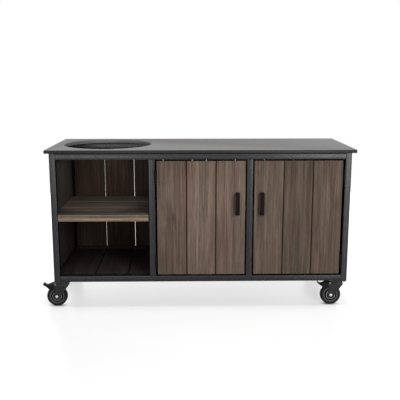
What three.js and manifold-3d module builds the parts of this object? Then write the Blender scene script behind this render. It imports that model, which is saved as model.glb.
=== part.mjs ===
// Outdoor kitchen table for a round ceramic grill, in millimetres, +Z up, front towards -Y.
// A welded frame of square tube stands on four swivel casters and carries a stone worktop
// with one round cut-out. The left bay is open and has a shelf, the other two are cupboards.
import * as THREE from 'three';
import { mergeVertices } from 'three/addons/utils/BufferGeometryUtils.js';
import Module from 'manifold-3d';

const wasm = await Module();
wasm.setup();

// Worktop
const worktopWidth = 1750;
const worktopDepth = 660;
const worktopThickness = 18;
const worktopOverhang = 22.5;
const worktopArris = 1.5;
const cutoutDiameter = 520;

// Rubber strip between worktop and frame
const seatThickness = 3;
const seatSetback = 4;

// Frame of square steel tube
const frameHeight = 750;
const tubeSide = 35;
const tubeWall = 2;
const tubeCornerRadius = 3.5;
const ledgeThickness = 3;

// Wooden boards and planks
const boardThickness = 20;
const plankGap = 3;
const centrePlankWidth = 89.4;
const panelSideGap = 6.8;
const planksPerSide = 4;
const planksPerOuterPanel = 3;
const grooveWidth = 5;
const grooveDepth = 3;
const wallPlanks = 3;
const battenHeight = 21;

// Shelf of the open bay, which the grill stands on
const shelfDrop = 369;
const shelfFasciaHeight = 41;
const shelfFasciaThickness = 18;
const shelfBoards = 3;
const shelfRearGap = 19;
const fitGap = 0.4;

// Doors
const doorTopGap = 6;
const doorBottomGap = 9.5;
const doorHingeGap = 11.5;
const doorLatchGap = 8.2;
const doorPlanks = 3;
const doorLedgeThickness = 16;
const doorLedgeHeight = 70;
const doorLedgeMargin = 42;
const doorLedgeInset = 90;

// Bar handles
const handleWidth = 22;
const handleLength = 134;
const handleDrop = 244;
const handleEdgeDistance = 33;
const handleStandoff = 26;
const handleThickness = 9;
const handleFootLength = 14;
const handleOuterRadius = 7;
const handleInnerRadius = 4;

// Butt hinges
const hingeHeight = 80;
const hingeBarrelProud = 1;
const hingePinRadius = 3;
const hingePinForward = 5;
const hingeLeafThickness = 2;
const hingeFrameLeafMargin = 5;
const hingeDoorLeafMargin = 3;
const hingeKnuckles = 5;
const hingeUpperDrop = 152;
const hingeLowerRise = 77.5;
const runningClearance = 0.3;

// Magnetic catches and their strike plates
const catchDrop = 338;
const catchHeight = 46;
const catchWidth = 14;
const catchDepth = 15;
const catchPoleThickness = 2;
const catchPoleDepth = 2.5;
const strikeThickness = 1.5;
const strikeHeight = 38;
const strikeWidth = 13;

// Casters
const casterPlateSide = 90;
const casterPlateThickness = 4;
const casterPlateRadius = 8;
const casterBoltInset = 12;
const casterBoltAcross = 13;
const casterBoltHeight = 5;
const casterTrail = 39;
const wheelDiameter = 120;
const wheelWidth = 32;
const wheelHubProud = 2;
const wheelHubRadius = 24;
const wheelRimRadius = 38;
const wheelWebWidth = 12;
const tyreSideInset = 3;
const tyreShoulder = 7;
const axleRadius = 6;
const axleHeadRadius = 8.5;
const axleHeadThickness = 5;
const forkSheet = 3;
const forkSideGap = 1;
const forkCrownGap = 6;
const forkBossRadius = 19;
const forkCrownFront = 30;
const forkCrownRear = 34;
const forkCheekRise = 14;
const forkShoulderAhead = 21;
const forkShoulderDrop = 2;
const raceRadius = 33;
const raceFoldProud = 1;
const raceTaper = 3;
const raceHeight = 10;
const upperRaceHeight = 13;
const kingpinRadius = 6;
const kingpinHeadRadius = 11;
const kingpinHeadThickness = 4;

// Brake pedals of the two front casters, their heights taken from the top of the tyre
// and their reaches from the front of the tyre or, at the pivot, from the axle
const pedalSideGap = 2;
const pedalSheet = 3;
const pedalPivotAhead = 7;
const pedalPivotRise = 14;
const pedalPinRadius = 3;
const pedalHubRadius = 6.5;
const pedalEarRadius = 8;
const pedalTyreGap = 9;
const pedalTipAhead = 22;
const pedalTipRise = 17;
const pedalTipThickness = 8;
const pedalDipInset = 2;
const pedalDipRise = 7;
const pedalShoulderInset = 21;
const pedalShoulderRise = 16;
const pedalToeInset = 2;
const pedalToeDrop = 18;

// Numbers of faces
const cutoutCurve = 32;
const tubeCurve = 1;
const smallCurve = 5;
const pinSides = 12;
const pedalPinSides = 8;
const handleCurve = 2;
const wheelSegments = 32;
const raceSegments = 22;
const boltSides = 6;

// Caster sizes that follow from the ones above
const wheelRadius = wheelDiameter / 2;
const wheelHubWidth = wheelWidth + 2 * wheelHubProud;
const tyreSideWidth = wheelWidth - 2 * tyreSideInset;
const crownBottom = wheelDiameter + forkCrownGap;
const crownTop = crownBottom + forkSheet;
const raceFoldRadius = raceRadius + raceFoldProud;
const raceTopRadius = raceRadius - raceTaper;
const raceTop = crownTop + raceHeight;
const plateBottom = raceTop + upperRaceHeight;
const casterHeight = plateBottom + casterPlateThickness;
const forkInnerHalf = wheelHubWidth / 2 + forkSideGap;
const forkOuterHalf = forkInnerHalf + forkSheet;
const forkCheekHeight = wheelDiameter + forkCheekRise;
const forkShoulderReach = casterTrail + forkShoulderAhead;
const forkShoulderHeight = wheelDiameter - forkShoulderDrop;
const tyreReach = casterTrail + wheelRadius;
const pedalWidth = 2 * (forkInnerHalf - pedalSideGap);
const pedalPivotReach = casterTrail + pedalPivotAhead;
const pedalPivotHeight = wheelDiameter + pedalPivotRise;
const pedalReach = tyreReach + pedalTipAhead;
const pedalTipHeight = wheelDiameter + pedalTipRise;
const pedalDipReach = tyreReach - pedalDipInset;
const pedalDipHeight = wheelDiameter + pedalDipRise;
const pedalShoulderReach = tyreReach - pedalShoulderInset;
const pedalShoulderHeight = wheelDiameter + pedalShoulderRise;
const pedalToeReach = tyreReach - pedalToeInset;
const pedalToeHeight = wheelDiameter - pedalToeDrop;

// Table sizes that follow from the ones above
const frameWidth = worktopWidth - 2 * worktopOverhang;
const frameDepth = worktopDepth - 2 * worktopOverhang;
const frameTop = casterHeight + frameHeight;
const worktopTop = frameTop + seatThickness + worktopThickness;
const frameFront = -frameDepth / 2;
const clearDepth = frameDepth - 2 * tubeSide;
const clearHeight = frameHeight - 2 * tubeSide;
const clearWidth = frameWidth - 2 * tubeSide;
const bayWidth = (frameWidth - 4 * tubeSide) / 3;
const bayPitch = bayWidth + tubeSide;
const midPostX = bayPitch / 2;
const endPostX = midPostX + bayPitch;
const sidePostY = frameDepth / 2 - tubeSide / 2;
const floorTop = casterHeight + tubeSide;
const rebateDepth = tubeSide - boardThickness;
const planksHalfWidth = clearWidth / 2 - panelSideGap;
const plankPitch = (planksHalfWidth - centrePlankWidth / 2) / planksPerSide;
const plankWidth = plankPitch - plankGap;
const shelfDepth = clearDepth + tubeSide - shelfFasciaThickness - shelfRearGap;
const shelfBoardPitch = (shelfDepth + plankGap) / shelfBoards;
const shelfTop = worktopTop - shelfDrop;
const battenTop = shelfTop - boardThickness;
const doorWidth = bayWidth - doorHingeGap - doorLatchGap;
const doorHeight = clearHeight - doorTopGap - doorBottomGap;
const doorBottom = floorTop + doorBottomGap;
const handleReach = handleStandoff + handleThickness;
const hingeBarrelRadius = doorHingeGap / 2 + hingeBarrelProud;
const hingeFrameLeafDepth = tubeSide - hingeFrameLeafMargin;
const hingeDoorLeafDepth = boardThickness - hingeDoorLeafMargin;
const hingeLowerDrop = worktopTop - doorBottom - hingeLowerRise;
const casterX = frameWidth / 2 - casterPlateSide / 2;
const casterY = frameDepth / 2 - casterPlateSide / 2;
const weldOverlap = tubeWall / 2;
const cutOverrun = 2;
const mergeDistance = 1e-4;
const fullTurn = 2 * Math.PI;
const halfTurn = Math.PI;
const quarterTurn = Math.PI / 2;

// Directions in which a flat outline is stretched
const rightward = new THREE.Vector3(1, 0, 0);
const backward = new THREE.Vector3(0, 1, 0);
const forward = new THREE.Vector3(0, -1, 0);
const upward = new THREE.Vector3(0, 0, 1);
const outlineYZ = new THREE.Matrix4().makeBasis(backward, upward, rightward);
const outlineXZ = new THREE.Matrix4().makeBasis(rightward, upward, forward);

// Solids for joining and cutting

function toSolid(geometry) {
  const bare = geometry.clone();
  bare.deleteAttribute('normal');
  bare.deleteAttribute('uv');
  const merged = mergeVertices(bare, mergeDistance);
  const vertProperties = new Float32Array(merged.attributes.position.array);
  const triVerts = new Uint32Array(merged.index.array);
  return new wasm.Manifold(new wasm.Mesh({ numProp: 3, vertProperties, triVerts }));
}

function toGeometry(solid) {
  const mesh = solid.getMesh();
  const geometry = new THREE.BufferGeometry();
  geometry.setAttribute('position', new THREE.BufferAttribute(mesh.vertProperties, 3));
  geometry.setIndex(new THREE.BufferAttribute(mesh.triVerts, 1));
  geometry.computeVertexNormals();
  return geometry;
}

function join(geometries) {
  let solid = toSolid(geometries[0]);
  for (const geometry of geometries.slice(1)) {
    solid = solid.add(toSolid(geometry));
  }
  return toGeometry(solid);
}

function cut(geometry, tools) {
  let solid = toSolid(geometry);
  for (const tool of tools) {
    solid = solid.subtract(toSolid(tool));
  }
  return toGeometry(solid);
}

// Plain forms

function box(lowX, highX, lowY, highY, lowZ, highZ) {
  const geometry = new THREE.BoxGeometry(highX - lowX, highY - lowY, highZ - lowZ);
  return geometry.translate((lowX + highX) / 2, (lowY + highY) / 2, (lowZ + highZ) / 2);
}

function extrude(shape, depth, curveSegments) {
  return new THREE.ExtrudeGeometry(shape, { depth, bevelEnabled: false, curveSegments });
}

function post(radius, lowZ, highZ, segments) {
  const geometry = new THREE.CylinderGeometry(radius, radius, highZ - lowZ, segments);
  return geometry.rotateX(quarterTurn).translate(0, 0, (lowZ + highZ) / 2);
}

function pinAcross(radius, reach, height, lowY, highY, segments) {
  const geometry = new THREE.CylinderGeometry(radius, radius, highY - lowY, segments);
  return geometry.translate(-reach, (lowY + highY) / 2, height);
}

function roundedSquare(side, radius) {
  const half = side / 2;
  const inner = half - radius;
  const path = new THREE.Shape();
  path.moveTo(-inner, -half);
  path.lineTo(inner, -half);
  path.absarc(inner, -inner, radius, -quarterTurn, 0, false);
  path.lineTo(half, inner);
  path.absarc(inner, inner, radius, 0, quarterTurn, false);
  path.lineTo(-inner, half);
  path.absarc(-inner, inner, radius, quarterTurn, halfTurn, false);
  path.lineTo(-half, -inner);
  path.absarc(-inner, -inner, radius, halfTurn, halfTurn + quarterTurn, false);
  path.closePath();
  return path;
}

function rectangle(halfWidth, halfDepth) {
  const shape = new THREE.Shape();
  shape.moveTo(-halfWidth, -halfDepth);
  shape.lineTo(halfWidth, -halfDepth);
  shape.lineTo(halfWidth, halfDepth);
  shape.lineTo(-halfWidth, halfDepth);
  shape.closePath();
  return shape;
}

// Worktop: a flat slab with a fine arris on its edges and round the cut-out

function worktopGeometry() {
  const shape = rectangle(worktopWidth / 2, worktopDepth / 2);
  const hole = new THREE.Path();
  hole.absarc(-bayPitch, 0, cutoutDiameter / 2, 0, fullTurn, true);
  shape.holes.push(hole);
  const geometry = new THREE.ExtrudeGeometry(shape, {
    depth: worktopThickness - 2 * worktopArris,
    bevelThickness: worktopArris,
    bevelSize: worktopArris,
    bevelOffset: -worktopArris,
    bevelSegments: 1,
    curveSegments: cutoutCurve,
  });
  return geometry.translate(0, 0, worktopArris);
}

// Rubber strip on the long rails and the cross rails

function seatGeometry() {
  const outerX = frameWidth / 2 - seatSetback;
  const outerY = frameDepth / 2 - seatSetback;
  const innerY = clearDepth / 2 + seatSetback;
  const windowHalf = bayWidth / 2 + seatSetback;
  const windows = [-bayPitch, 0, bayPitch].map((centre) => box(
    centre - windowHalf, centre + windowHalf, -innerY, innerY, -cutOverrun, seatThickness + cutOverrun,
  ));
  return cut(box(-outerX, outerX, -outerY, outerY, 0, seatThickness), windows);
}

// Square tube with rounded edges, hollow from end to end

function tubeShape() {
  const shape = roundedSquare(tubeSide, tubeCornerRadius);
  shape.holes.push(roundedSquare(tubeSide - 2 * tubeWall, tubeCornerRadius - tubeWall));
  return shape;
}

function uprightTube(length) {
  return extrude(tubeShape(), length, tubeCurve);
}

function tubeAlongX(length) {
  return extrude(tubeShape(), length, tubeCurve).translate(0, 0, -length / 2).applyMatrix4(outlineYZ);
}

function tubeAlongY(length) {
  return extrude(tubeShape(), length, tubeCurve).translate(0, 0, -length / 2).applyMatrix4(outlineXZ);
}

// Long bottom rail with the flat bar that its floor boards rest on, inner side towards +Y

function flooredRail(length) {
  const end = length / 2;
  const half = tubeSide / 2;
  const top = half - boardThickness;
  const bar = box(-end, end, half - weldOverlap, half + rebateDepth, top - ledgeThickness, top);
  return join([tubeAlongX(length), bar]);
}

// Boards with a V groove where two boards meet, in front and behind

function groovedOutline(width, thickness, grooves) {
  const shape = new THREE.Shape();
  const half = grooveWidth / 2;
  shape.moveTo(-width / 2, 0);
  for (const x of grooves) {
    shape.lineTo(x - half, 0);
    shape.lineTo(x, grooveDepth);
    shape.lineTo(x + half, 0);
  }
  shape.lineTo(width / 2, 0);
  shape.lineTo(width / 2, thickness);
  for (const x of [...grooves].reverse()) {
    shape.lineTo(x + half, thickness);
    shape.lineTo(x, thickness - grooveDepth);
    shape.lineTo(x - half, thickness);
  }
  shape.lineTo(-width / 2, thickness);
  shape.closePath();
  return shape;
}

function seamPlaces() {
  const first = centrePlankWidth / 2 + plankGap / 2;
  const right = [];
  for (let index = 0; index < planksPerSide; index += 1) {
    right.push(first + index * plankPitch);
  }
  const left = right.map((x) => -x).reverse();
  return [...left, ...right];
}

function floorGeometry() {
  const width = clearWidth - 2 * fitGap;
  const depth = clearDepth - 2 * fitGap;
  const shape = groovedOutline(width, boardThickness, seamPlaces());
  return extrude(shape, depth, tubeCurve).translate(0, 0, -depth / 2).applyMatrix4(outlineXZ);
}

// Back wall: planks with a see-through gap, nailed in three panels to battens inside

function plankEdges() {
  const edges = [[-centrePlankWidth / 2, centrePlankWidth / 2]];
  for (let index = 0; index < planksPerSide; index += 1) {
    const inner = centrePlankWidth / 2 + plankGap + index * plankPitch;
    edges.push([inner, inner + plankWidth]);
    edges.unshift([-inner - plankWidth, -inner]);
  }
  return edges;
}

function backPanelGeometry(edges) {
  const height = clearHeight - 2 * fitGap;
  const lowX = edges[0][0];
  const highX = edges[edges.length - 1][1];
  const pieces = edges.map(([left, right]) => box(left, right, 0, boardThickness, 0, height));
  for (const batten of [0, height - battenHeight]) {
    pieces.push(box(lowX, highX, -rebateDepth, weldOverlap, batten, batten + battenHeight));
  }
  return join(pieces);
}

// Side wall or partition: planks on battens, planks outside and battens towards +X

function wallGeometry(height, battens) {
  const depth = clearDepth - 2 * fitGap;
  const pitch = (depth + plankGap) / wallPlanks;
  const pieces = [];
  for (let index = 0; index < wallPlanks; index += 1) {
    const low = -depth / 2 + index * pitch;
    pieces.push(box(0, boardThickness, low, low + pitch - plankGap, 0, height));
  }
  const outer = boardThickness - weldOverlap;
  const inner = boardThickness + rebateDepth;
  for (const low of battens) {
    pieces.push(box(outer, inner, -depth / 2, depth / 2, low, low + battenHeight));
  }
  return join(pieces);
}

// Shelf boards, of which the front one is notched round the two posts

function shelfBoardGeometry(notched) {
  const half = bayWidth / 2 + rebateDepth - fitGap;
  const depth = shelfBoardPitch - plankGap;
  const notchX = notched ? rebateDepth + fitGap : 0;
  const notchY = notched ? tubeSide - shelfFasciaThickness : 0;
  const shape = new THREE.Shape();
  shape.moveTo(-half + notchX, 0);
  shape.lineTo(half - notchX, 0);
  if (notched) {
    shape.lineTo(half - notchX, notchY);
    shape.lineTo(half, notchY);
  }
  shape.lineTo(half, depth);
  shape.lineTo(-half, depth);
  if (notched) {
    shape.lineTo(-half, notchY);
    shape.lineTo(-half + notchX, notchY);
  }
  shape.closePath();
  return extrude(shape, boardThickness, tubeCurve);
}

function shelfFasciaGeometry() {
  const half = bayWidth / 2 - fitGap;
  return box(-half, half, 0, shelfFasciaThickness - fitGap, 0, shelfFasciaHeight);
}

// Door: three planks side by side, held by two ledges across the inside

function doorGeometry() {
  const pitch = doorWidth / doorPlanks;
  const grooves = [];
  for (let index = 1; index < doorPlanks; index += 1) {
    grooves.push(-doorWidth / 2 + index * pitch);
  }
  const panel = extrude(groovedOutline(doorWidth, boardThickness, grooves), doorHeight, tubeCurve);
  const half = doorWidth / 2 - doorLedgeMargin;
  const back = boardThickness + doorLedgeThickness;
  const pieces = [panel];
  for (const low of [doorLedgeInset, doorHeight - doorLedgeInset - doorLedgeHeight]) {
    pieces.push(box(-half, half, boardThickness - weldOverlap, back, low, low + doorLedgeHeight));
  }
  return join(pieces);
}

// Handle: a flat bar bent to a bridge, drawn in the plane of its standoff and its length

function handleGeometry() {
  const shape = new THREE.Shape();
  const foot = handleFootLength;
  const bar = handleStandoff;
  const outer = handleOuterRadius;
  const inner = handleInnerRadius;
  shape.moveTo(0, 0);
  shape.lineTo(-handleReach + outer, 0);
  shape.absarc(-handleReach + outer, outer, outer, -quarterTurn, -halfTurn, true);
  shape.lineTo(-handleReach, handleLength - outer);
  shape.absarc(-handleReach + outer, handleLength - outer, outer, halfTurn, quarterTurn, true);
  shape.lineTo(0, handleLength);
  shape.lineTo(0, handleLength - foot);
  shape.lineTo(-bar + inner, handleLength - foot);
  shape.absarc(-bar + inner, handleLength - foot - inner, inner, quarterTurn, halfTurn, false);
  shape.lineTo(-bar, foot + inner);
  shape.absarc(-bar + inner, foot + inner, inner, halfTurn, halfTurn + quarterTurn, false);
  shape.lineTo(0, foot);
  shape.closePath();
  const handle = extrude(shape, handleWidth, handleCurve).translate(0, 0, -handleWidth / 2);
  return handle.applyMatrix4(outlineYZ);
}

// Hinge leaf about its pin, with the door on the side that side names as +1 or -1

const knuckleHeight = (hingeHeight - (hingeKnuckles - 1) * runningClearance) / hingeKnuckles;
const leafFace = doorHingeGap / 2;
const leafStart = hingeBarrelRadius + runningClearance;

function leafPlate(side, lowY, highY, lowZ, highZ) {
  const outer = side * leafFace;
  const inner = side * (leafFace - hingeLeafThickness);
  return box(Math.min(outer, inner), Math.max(outer, inner), lowY, highY, lowZ, highZ);
}

function hingeLeafGeometry(side, depth, firstKnuckle) {
  const pieces = [leafPlate(side, leafStart, hingePinForward + depth, 0, hingeHeight)];
  for (let index = firstKnuckle; index < hingeKnuckles; index += 2) {
    const low = index * (knuckleHeight + runningClearance);
    const high = low + knuckleHeight;
    pieces.push(post(hingeBarrelRadius, low, high, 2 * smallCurve));
    pieces.push(leafPlate(side, 0, leafStart + weldOverlap, low, high));
  }
  return join(pieces);
}

function frameLeafGeometry(side) {
  const leaf = hingeLeafGeometry(-side, hingeFrameLeafDepth, 0);
  return join([leaf, post(hingePinRadius, 0, hingeHeight, 2 * smallCurve)]);
}

function doorLeafGeometry(side) {
  const leaf = hingeLeafGeometry(side, hingeDoorLeafDepth, 1);
  const boreRadius = hingePinRadius + runningClearance;
  const bore = post(boreRadius, -cutOverrun, hingeHeight + cutOverrun, 2 * smallCurve);
  return cut(leaf, [bore]);
}

// Magnetic catch with two pole plates, and the strike plate on the door

function catchGeometry() {
  const body = box(0, catchWidth, 0, catchDepth, 0, catchHeight);
  const poles = [catchWidth / 4, 3 * catchWidth / 4].map((x) => box(
    x - catchPoleThickness / 2, x + catchPoleThickness / 2,
    -catchPoleDepth, weldOverlap,
    catchHeight / 4, 3 * catchHeight / 4,
  ));
  return join([body, ...poles]);
}

function strikeGeometry() {
  return box(0, strikeWidth, 0, strikeThickness, 0, strikeHeight);
}

// Caster plate with the upper ball race, the kingpin and four bolt heads

function casterPlateGeometry() {
  const outline = roundedSquare(casterPlateSide, casterPlateRadius);
  const plate = extrude(outline, casterPlateThickness, handleCurve).translate(0, 0, plateBottom);
  const raceBottom = raceTop + runningClearance;
  const race = new THREE.LatheGeometry([
    new THREE.Vector2(0, raceBottom),
    new THREE.Vector2(raceTopRadius, raceBottom),
    new THREE.Vector2(raceRadius, (raceBottom + plateBottom) / 2),
    new THREE.Vector2(raceRadius, plateBottom + casterPlateThickness / 2),
    new THREE.Vector2(0, plateBottom + casterPlateThickness / 2),
  ], raceSegments).rotateX(quarterTurn);
  const headTop = crownBottom - runningClearance;
  const pin = post(kingpinRadius, headTop - kingpinHeadThickness / 2, plateBottom, pinSides);
  const head = post(kingpinHeadRadius, headTop - kingpinHeadThickness, headTop, 2 * smallCurve);
  const pieces = [plate, race, pin, head];
  const boltPlace = casterPlateSide / 2 - casterBoltInset;
  const boltRadius = casterBoltAcross / 2;
  const boltBottom = plateBottom - casterBoltHeight;
  const boltTop = casterHeight - weldOverlap;
  for (const x of [-boltPlace, boltPlace]) {
    for (const y of [-boltPlace, boltPlace]) {
      pieces.push(post(boltRadius, boltBottom, boltTop, boltSides).translate(x, y, 0));
    }
  }
  return join(pieces);
}

// Cheek outline of the fork: reach runs from the swivel axis towards the wheel, along -X.
// The straight edges leave the axle boss as tangents.

function tangentAngle(reach, height, turn) {
  const across = casterTrail - reach;
  const up = height - wheelRadius;
  const distance = Math.hypot(across, up);
  return Math.atan2(up, across) + turn * Math.acos(forkBossRadius / distance);
}

function forkCheekShape(braked) {
  const shape = new THREE.Shape();
  const frontAngle = tangentAngle(-forkCrownFront, crownBottom, -1);
  const rearAngle = tangentAngle(forkShoulderReach, forkShoulderHeight, 1);
  shape.moveTo(forkCrownFront, forkCheekHeight);
  shape.lineTo(forkCrownFront, crownBottom);
  shape.absarc(-casterTrail, wheelRadius, forkBossRadius, frontAngle, rearAngle - fullTurn, true);
  shape.lineTo(-forkShoulderReach, forkShoulderHeight);
  if (braked) {
    shape.absarc(-pedalPivotReach, pedalPivotHeight, pedalEarRadius, halfTurn, 0, true);
  } else {
    shape.lineTo(-pedalPivotReach, forkCheekHeight);
  }
  shape.closePath();
  return shape;
}

function forkCheek(braked, lowY) {
  const cheek = extrude(forkCheekShape(braked), forkSheet, smallCurve);
  return cheek.applyMatrix4(outlineXZ).translate(0, lowY + forkSheet, 0);
}

function forkGeometry(braked) {
  const half = forkOuterHalf;
  const crown = box(-forkCrownRear, forkCrownFront, -half, half, crownBottom, crownTop);
  const race = new THREE.LatheGeometry([
    new THREE.Vector2(0, crownTop - weldOverlap),
    new THREE.Vector2(raceRadius, crownTop - weldOverlap),
    new THREE.Vector2(raceFoldRadius, crownTop + raceHeight / 3),
    new THREE.Vector2(raceTopRadius, raceTop),
    new THREE.Vector2(0, raceTop),
  ], raceSegments).rotateX(quarterTurn);
  const headInner = half - weldOverlap;
  const headOuter = half + axleHeadThickness;
  const onAxle = [casterTrail, wheelRadius];
  const pieces = [
    crown,
    race,
    forkCheek(braked, -half),
    forkCheek(braked, forkInnerHalf),
    pinAcross(axleRadius, ...onAxle, -headOuter, headOuter, 2 * smallCurve),
    pinAcross(axleHeadRadius, ...onAxle, -headOuter, -headInner, 2 * smallCurve),
    pinAcross(axleHeadRadius, ...onAxle, headInner, headOuter, 2 * smallCurve),
  ];
  if (braked) {
    const pinEnd = half + forkSheet / 2;
    const onPivot = [pedalPivotReach, pedalPivotHeight];
    pieces.push(pinAcross(pedalPinRadius, ...onPivot, -pinEnd, pinEnd, pedalPinSides));
  }
  const boreRadius = kingpinRadius + runningClearance;
  const bore = post(boreRadius, crownBottom - cutOverrun, raceTop + cutOverrun, pinSides);
  return cut(join(pieces), [bore]);
}

// Wheel: tyre with round shoulders, rim lip, thin web and hub, turned about the axle.
// The flat of the lowest face stands on the ground, so corners lie a little further out.

function wheelGeometry() {
  const cornerShare = 1 / Math.cos(halfTurn / wheelSegments);
  const halfProfile = [
    [axleRadius + runningClearance, wheelHubWidth / 2],
    [wheelHubRadius, wheelHubWidth / 2],
    [wheelHubRadius, wheelWebWidth / 2],
    [wheelRimRadius, wheelWebWidth / 2],
    [wheelRimRadius, tyreSideWidth / 2],
    [wheelRadius - tyreShoulder, wheelWidth / 2],
    [wheelRadius - tyreShoulder / 3, wheelWidth / 2 - tyreShoulder / 3],
    [wheelRadius, wheelWidth / 2 - tyreShoulder],
  ];
  const points = halfProfile.map(([radius, y]) => new THREE.Vector2(radius * cornerShare, y));
  const mirrored = points.map((point) => new THREE.Vector2(point.x, -point.y));
  const closed = [...mirrored, ...points.reverse()];
  closed.push(closed[0].clone());
  return new THREE.LatheGeometry(closed, wheelSegments, halfTurn / wheelSegments);
}

// Brake pedal: a pressed hood over the tyre, with a hub at its pivot and an upturned tip

function pedalShape() {
  const shape = new THREE.Shape();
  const shoeRadius = wheelRadius + pedalTyreGap;
  const toeAngle = Math.atan2(pedalToeHeight - wheelRadius, -pedalToeReach + casterTrail);
  const hubBottom = pedalPivotHeight - pedalHubRadius;
  const hubAngle = Math.atan2(hubBottom - wheelRadius, -pedalPivotReach + casterTrail);
  const tip = pedalTipThickness / 2;
  const tipMiddle = pedalTipHeight - tip;
  shape.moveTo(-pedalPivotReach + pedalHubRadius, pedalPivotHeight);
  shape.absarc(-pedalPivotReach, pedalPivotHeight, pedalHubRadius, 0, quarterTurn, false);
  shape.lineTo(-pedalShoulderReach, pedalShoulderHeight);
  shape.lineTo(-pedalDipReach, pedalDipHeight);
  shape.lineTo(-pedalReach + 2 * tip, pedalTipHeight);
  shape.absarc(-pedalReach + tip, tipMiddle, tip, quarterTurn, halfTurn + quarterTurn / 2, false);
  shape.lineTo(-pedalToeReach, pedalToeHeight);
  shape.absarc(-casterTrail, wheelRadius, shoeRadius, toeAngle, hubAngle, true);
  shape.absarc(-pedalPivotReach, pedalPivotHeight, pedalHubRadius, -quarterTurn, 0, false);
  shape.closePath();
  return shape;
}

function pedalPocketShape() {
  const shape = new THREE.Shape();
  const start = pedalPivotReach + pedalHubRadius + pedalSheet;
  shape.moveTo(-start, wheelDiameter);
  shape.lineTo(-start, pedalShoulderHeight - pedalSheet);
  shape.lineTo(-pedalShoulderReach, pedalShoulderHeight - pedalSheet);
  shape.lineTo(-pedalDipReach, pedalDipHeight - pedalSheet);
  shape.lineTo(-pedalToeReach, pedalToeHeight + pedalTyreGap);
  shape.lineTo(-pedalShoulderReach, pedalToeHeight);
  shape.closePath();
  return shape;
}

function pedalGeometry() {
  const body = extrude(pedalShape(), pedalWidth, smallCurve).applyMatrix4(outlineXZ);
  body.translate(0, pedalWidth / 2, 0);
  const pocketWidth = pedalWidth - 2 * pedalSheet;
  const pocket = extrude(pedalPocketShape(), pocketWidth, smallCurve).applyMatrix4(outlineXZ);
  pocket.translate(0, pocketWidth / 2, 0);
  const boreEnd = pedalWidth / 2 + cutOverrun;
  const boreRadius = pedalPinRadius + runningClearance;
  const onPivot = [pedalPivotReach, pedalPivotHeight];
  const bore = pinAcross(boreRadius, ...onPivot, -boreEnd, boreEnd, pedalPinSides);
  return cut(body, [pocket, bore]);
}

// Materials

function material(color, roughness, metalness) {
  return new THREE.MeshStandardMaterial({ color, roughness, metalness });
}

const stone = () => material(0x8e8a89, 0.55, 0);
const frameSteel = () => material(0x45484b, 0.5, 0.4);
const wallWood = () => material(0x5b4d42, 0.75, 0);
const doorWood = () => material(0x685a50, 0.7, 0);
const shelfWood = () => material(0x7d6c5c, 0.7, 0);
const handleFinish = () => material(0x2f2723, 0.5, 0.1);
const hingeSteel = () => material(0x2b2b2e, 0.45, 0.6);
const zincSteel = () => material(0x9c9ea0, 0.4, 0.8);
const casterSteel = () => material(0x2a2b2c, 0.45, 0.5);
const wheelRubber = () => material(0x1d1d1e, 0.7, 0);
const pedalBlack = () => material(0x161617, 0.55, 0.1);
const seatRubber = () => material(0x101010, 0.9, 0);

// Assembly: everything is placed about the middle of the table, at floor height

const table = new THREE.Group();

function add(parent, name, geometry, finish, x, y, z) {
  const mesh = new THREE.Mesh(geometry, finish);
  mesh.name = name;
  mesh.position.set(x, y, z);
  parent.add(mesh);
  return mesh;
}

function addWorktop() {
  add(table, 'seat_strip', seatGeometry(), seatRubber(), 0, 0, frameTop);
  add(table, 'worktop', worktopGeometry(), stone(), 0, 0, frameTop + seatThickness);
}

function addFrame() {
  const lowRail = casterHeight + tubeSide / 2;
  const highRail = frameTop - tubeSide / 2;
  for (const [side, x] of [['left', -endPostX], ['right', endPostX]]) {
    for (const [end, y] of [['front', -sidePostY], ['rear', sidePostY]]) {
      add(table, `post_${end}_${side}`, uprightTube(frameHeight), frameSteel(), x, y, casterHeight);
    }
    add(table, `end_rail_top_${side}`, tubeAlongY(clearDepth), frameSteel(), x, 0, highRail);
    add(table, `end_rail_bottom_${side}`, tubeAlongY(clearDepth), frameSteel(), x, 0, lowRail);
  }
  for (const [side, x] of [['left', -midPostX], ['right', midPostX]]) {
    add(table, `post_mid_${side}`, uprightTube(clearHeight), frameSteel(), x, -sidePostY, floorTop);
    add(table, `cross_rail_${side}`, tubeAlongY(clearDepth), frameSteel(), x, 0, highRail);
  }
  add(table, 'rail_front_top', tubeAlongX(clearWidth), frameSteel(), 0, -sidePostY, highRail);
  add(table, 'rail_rear_top', tubeAlongX(clearWidth), frameSteel(), 0, sidePostY, highRail);
  add(table, 'rail_front_bottom', flooredRail(clearWidth), frameSteel(), 0, -sidePostY, lowRail);
  const rearRail = flooredRail(clearWidth);
  const rear = add(table, 'rail_rear_bottom', rearRail, frameSteel(), 0, sidePostY, lowRail);
  rear.rotation.z = halfTurn;
}

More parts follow.
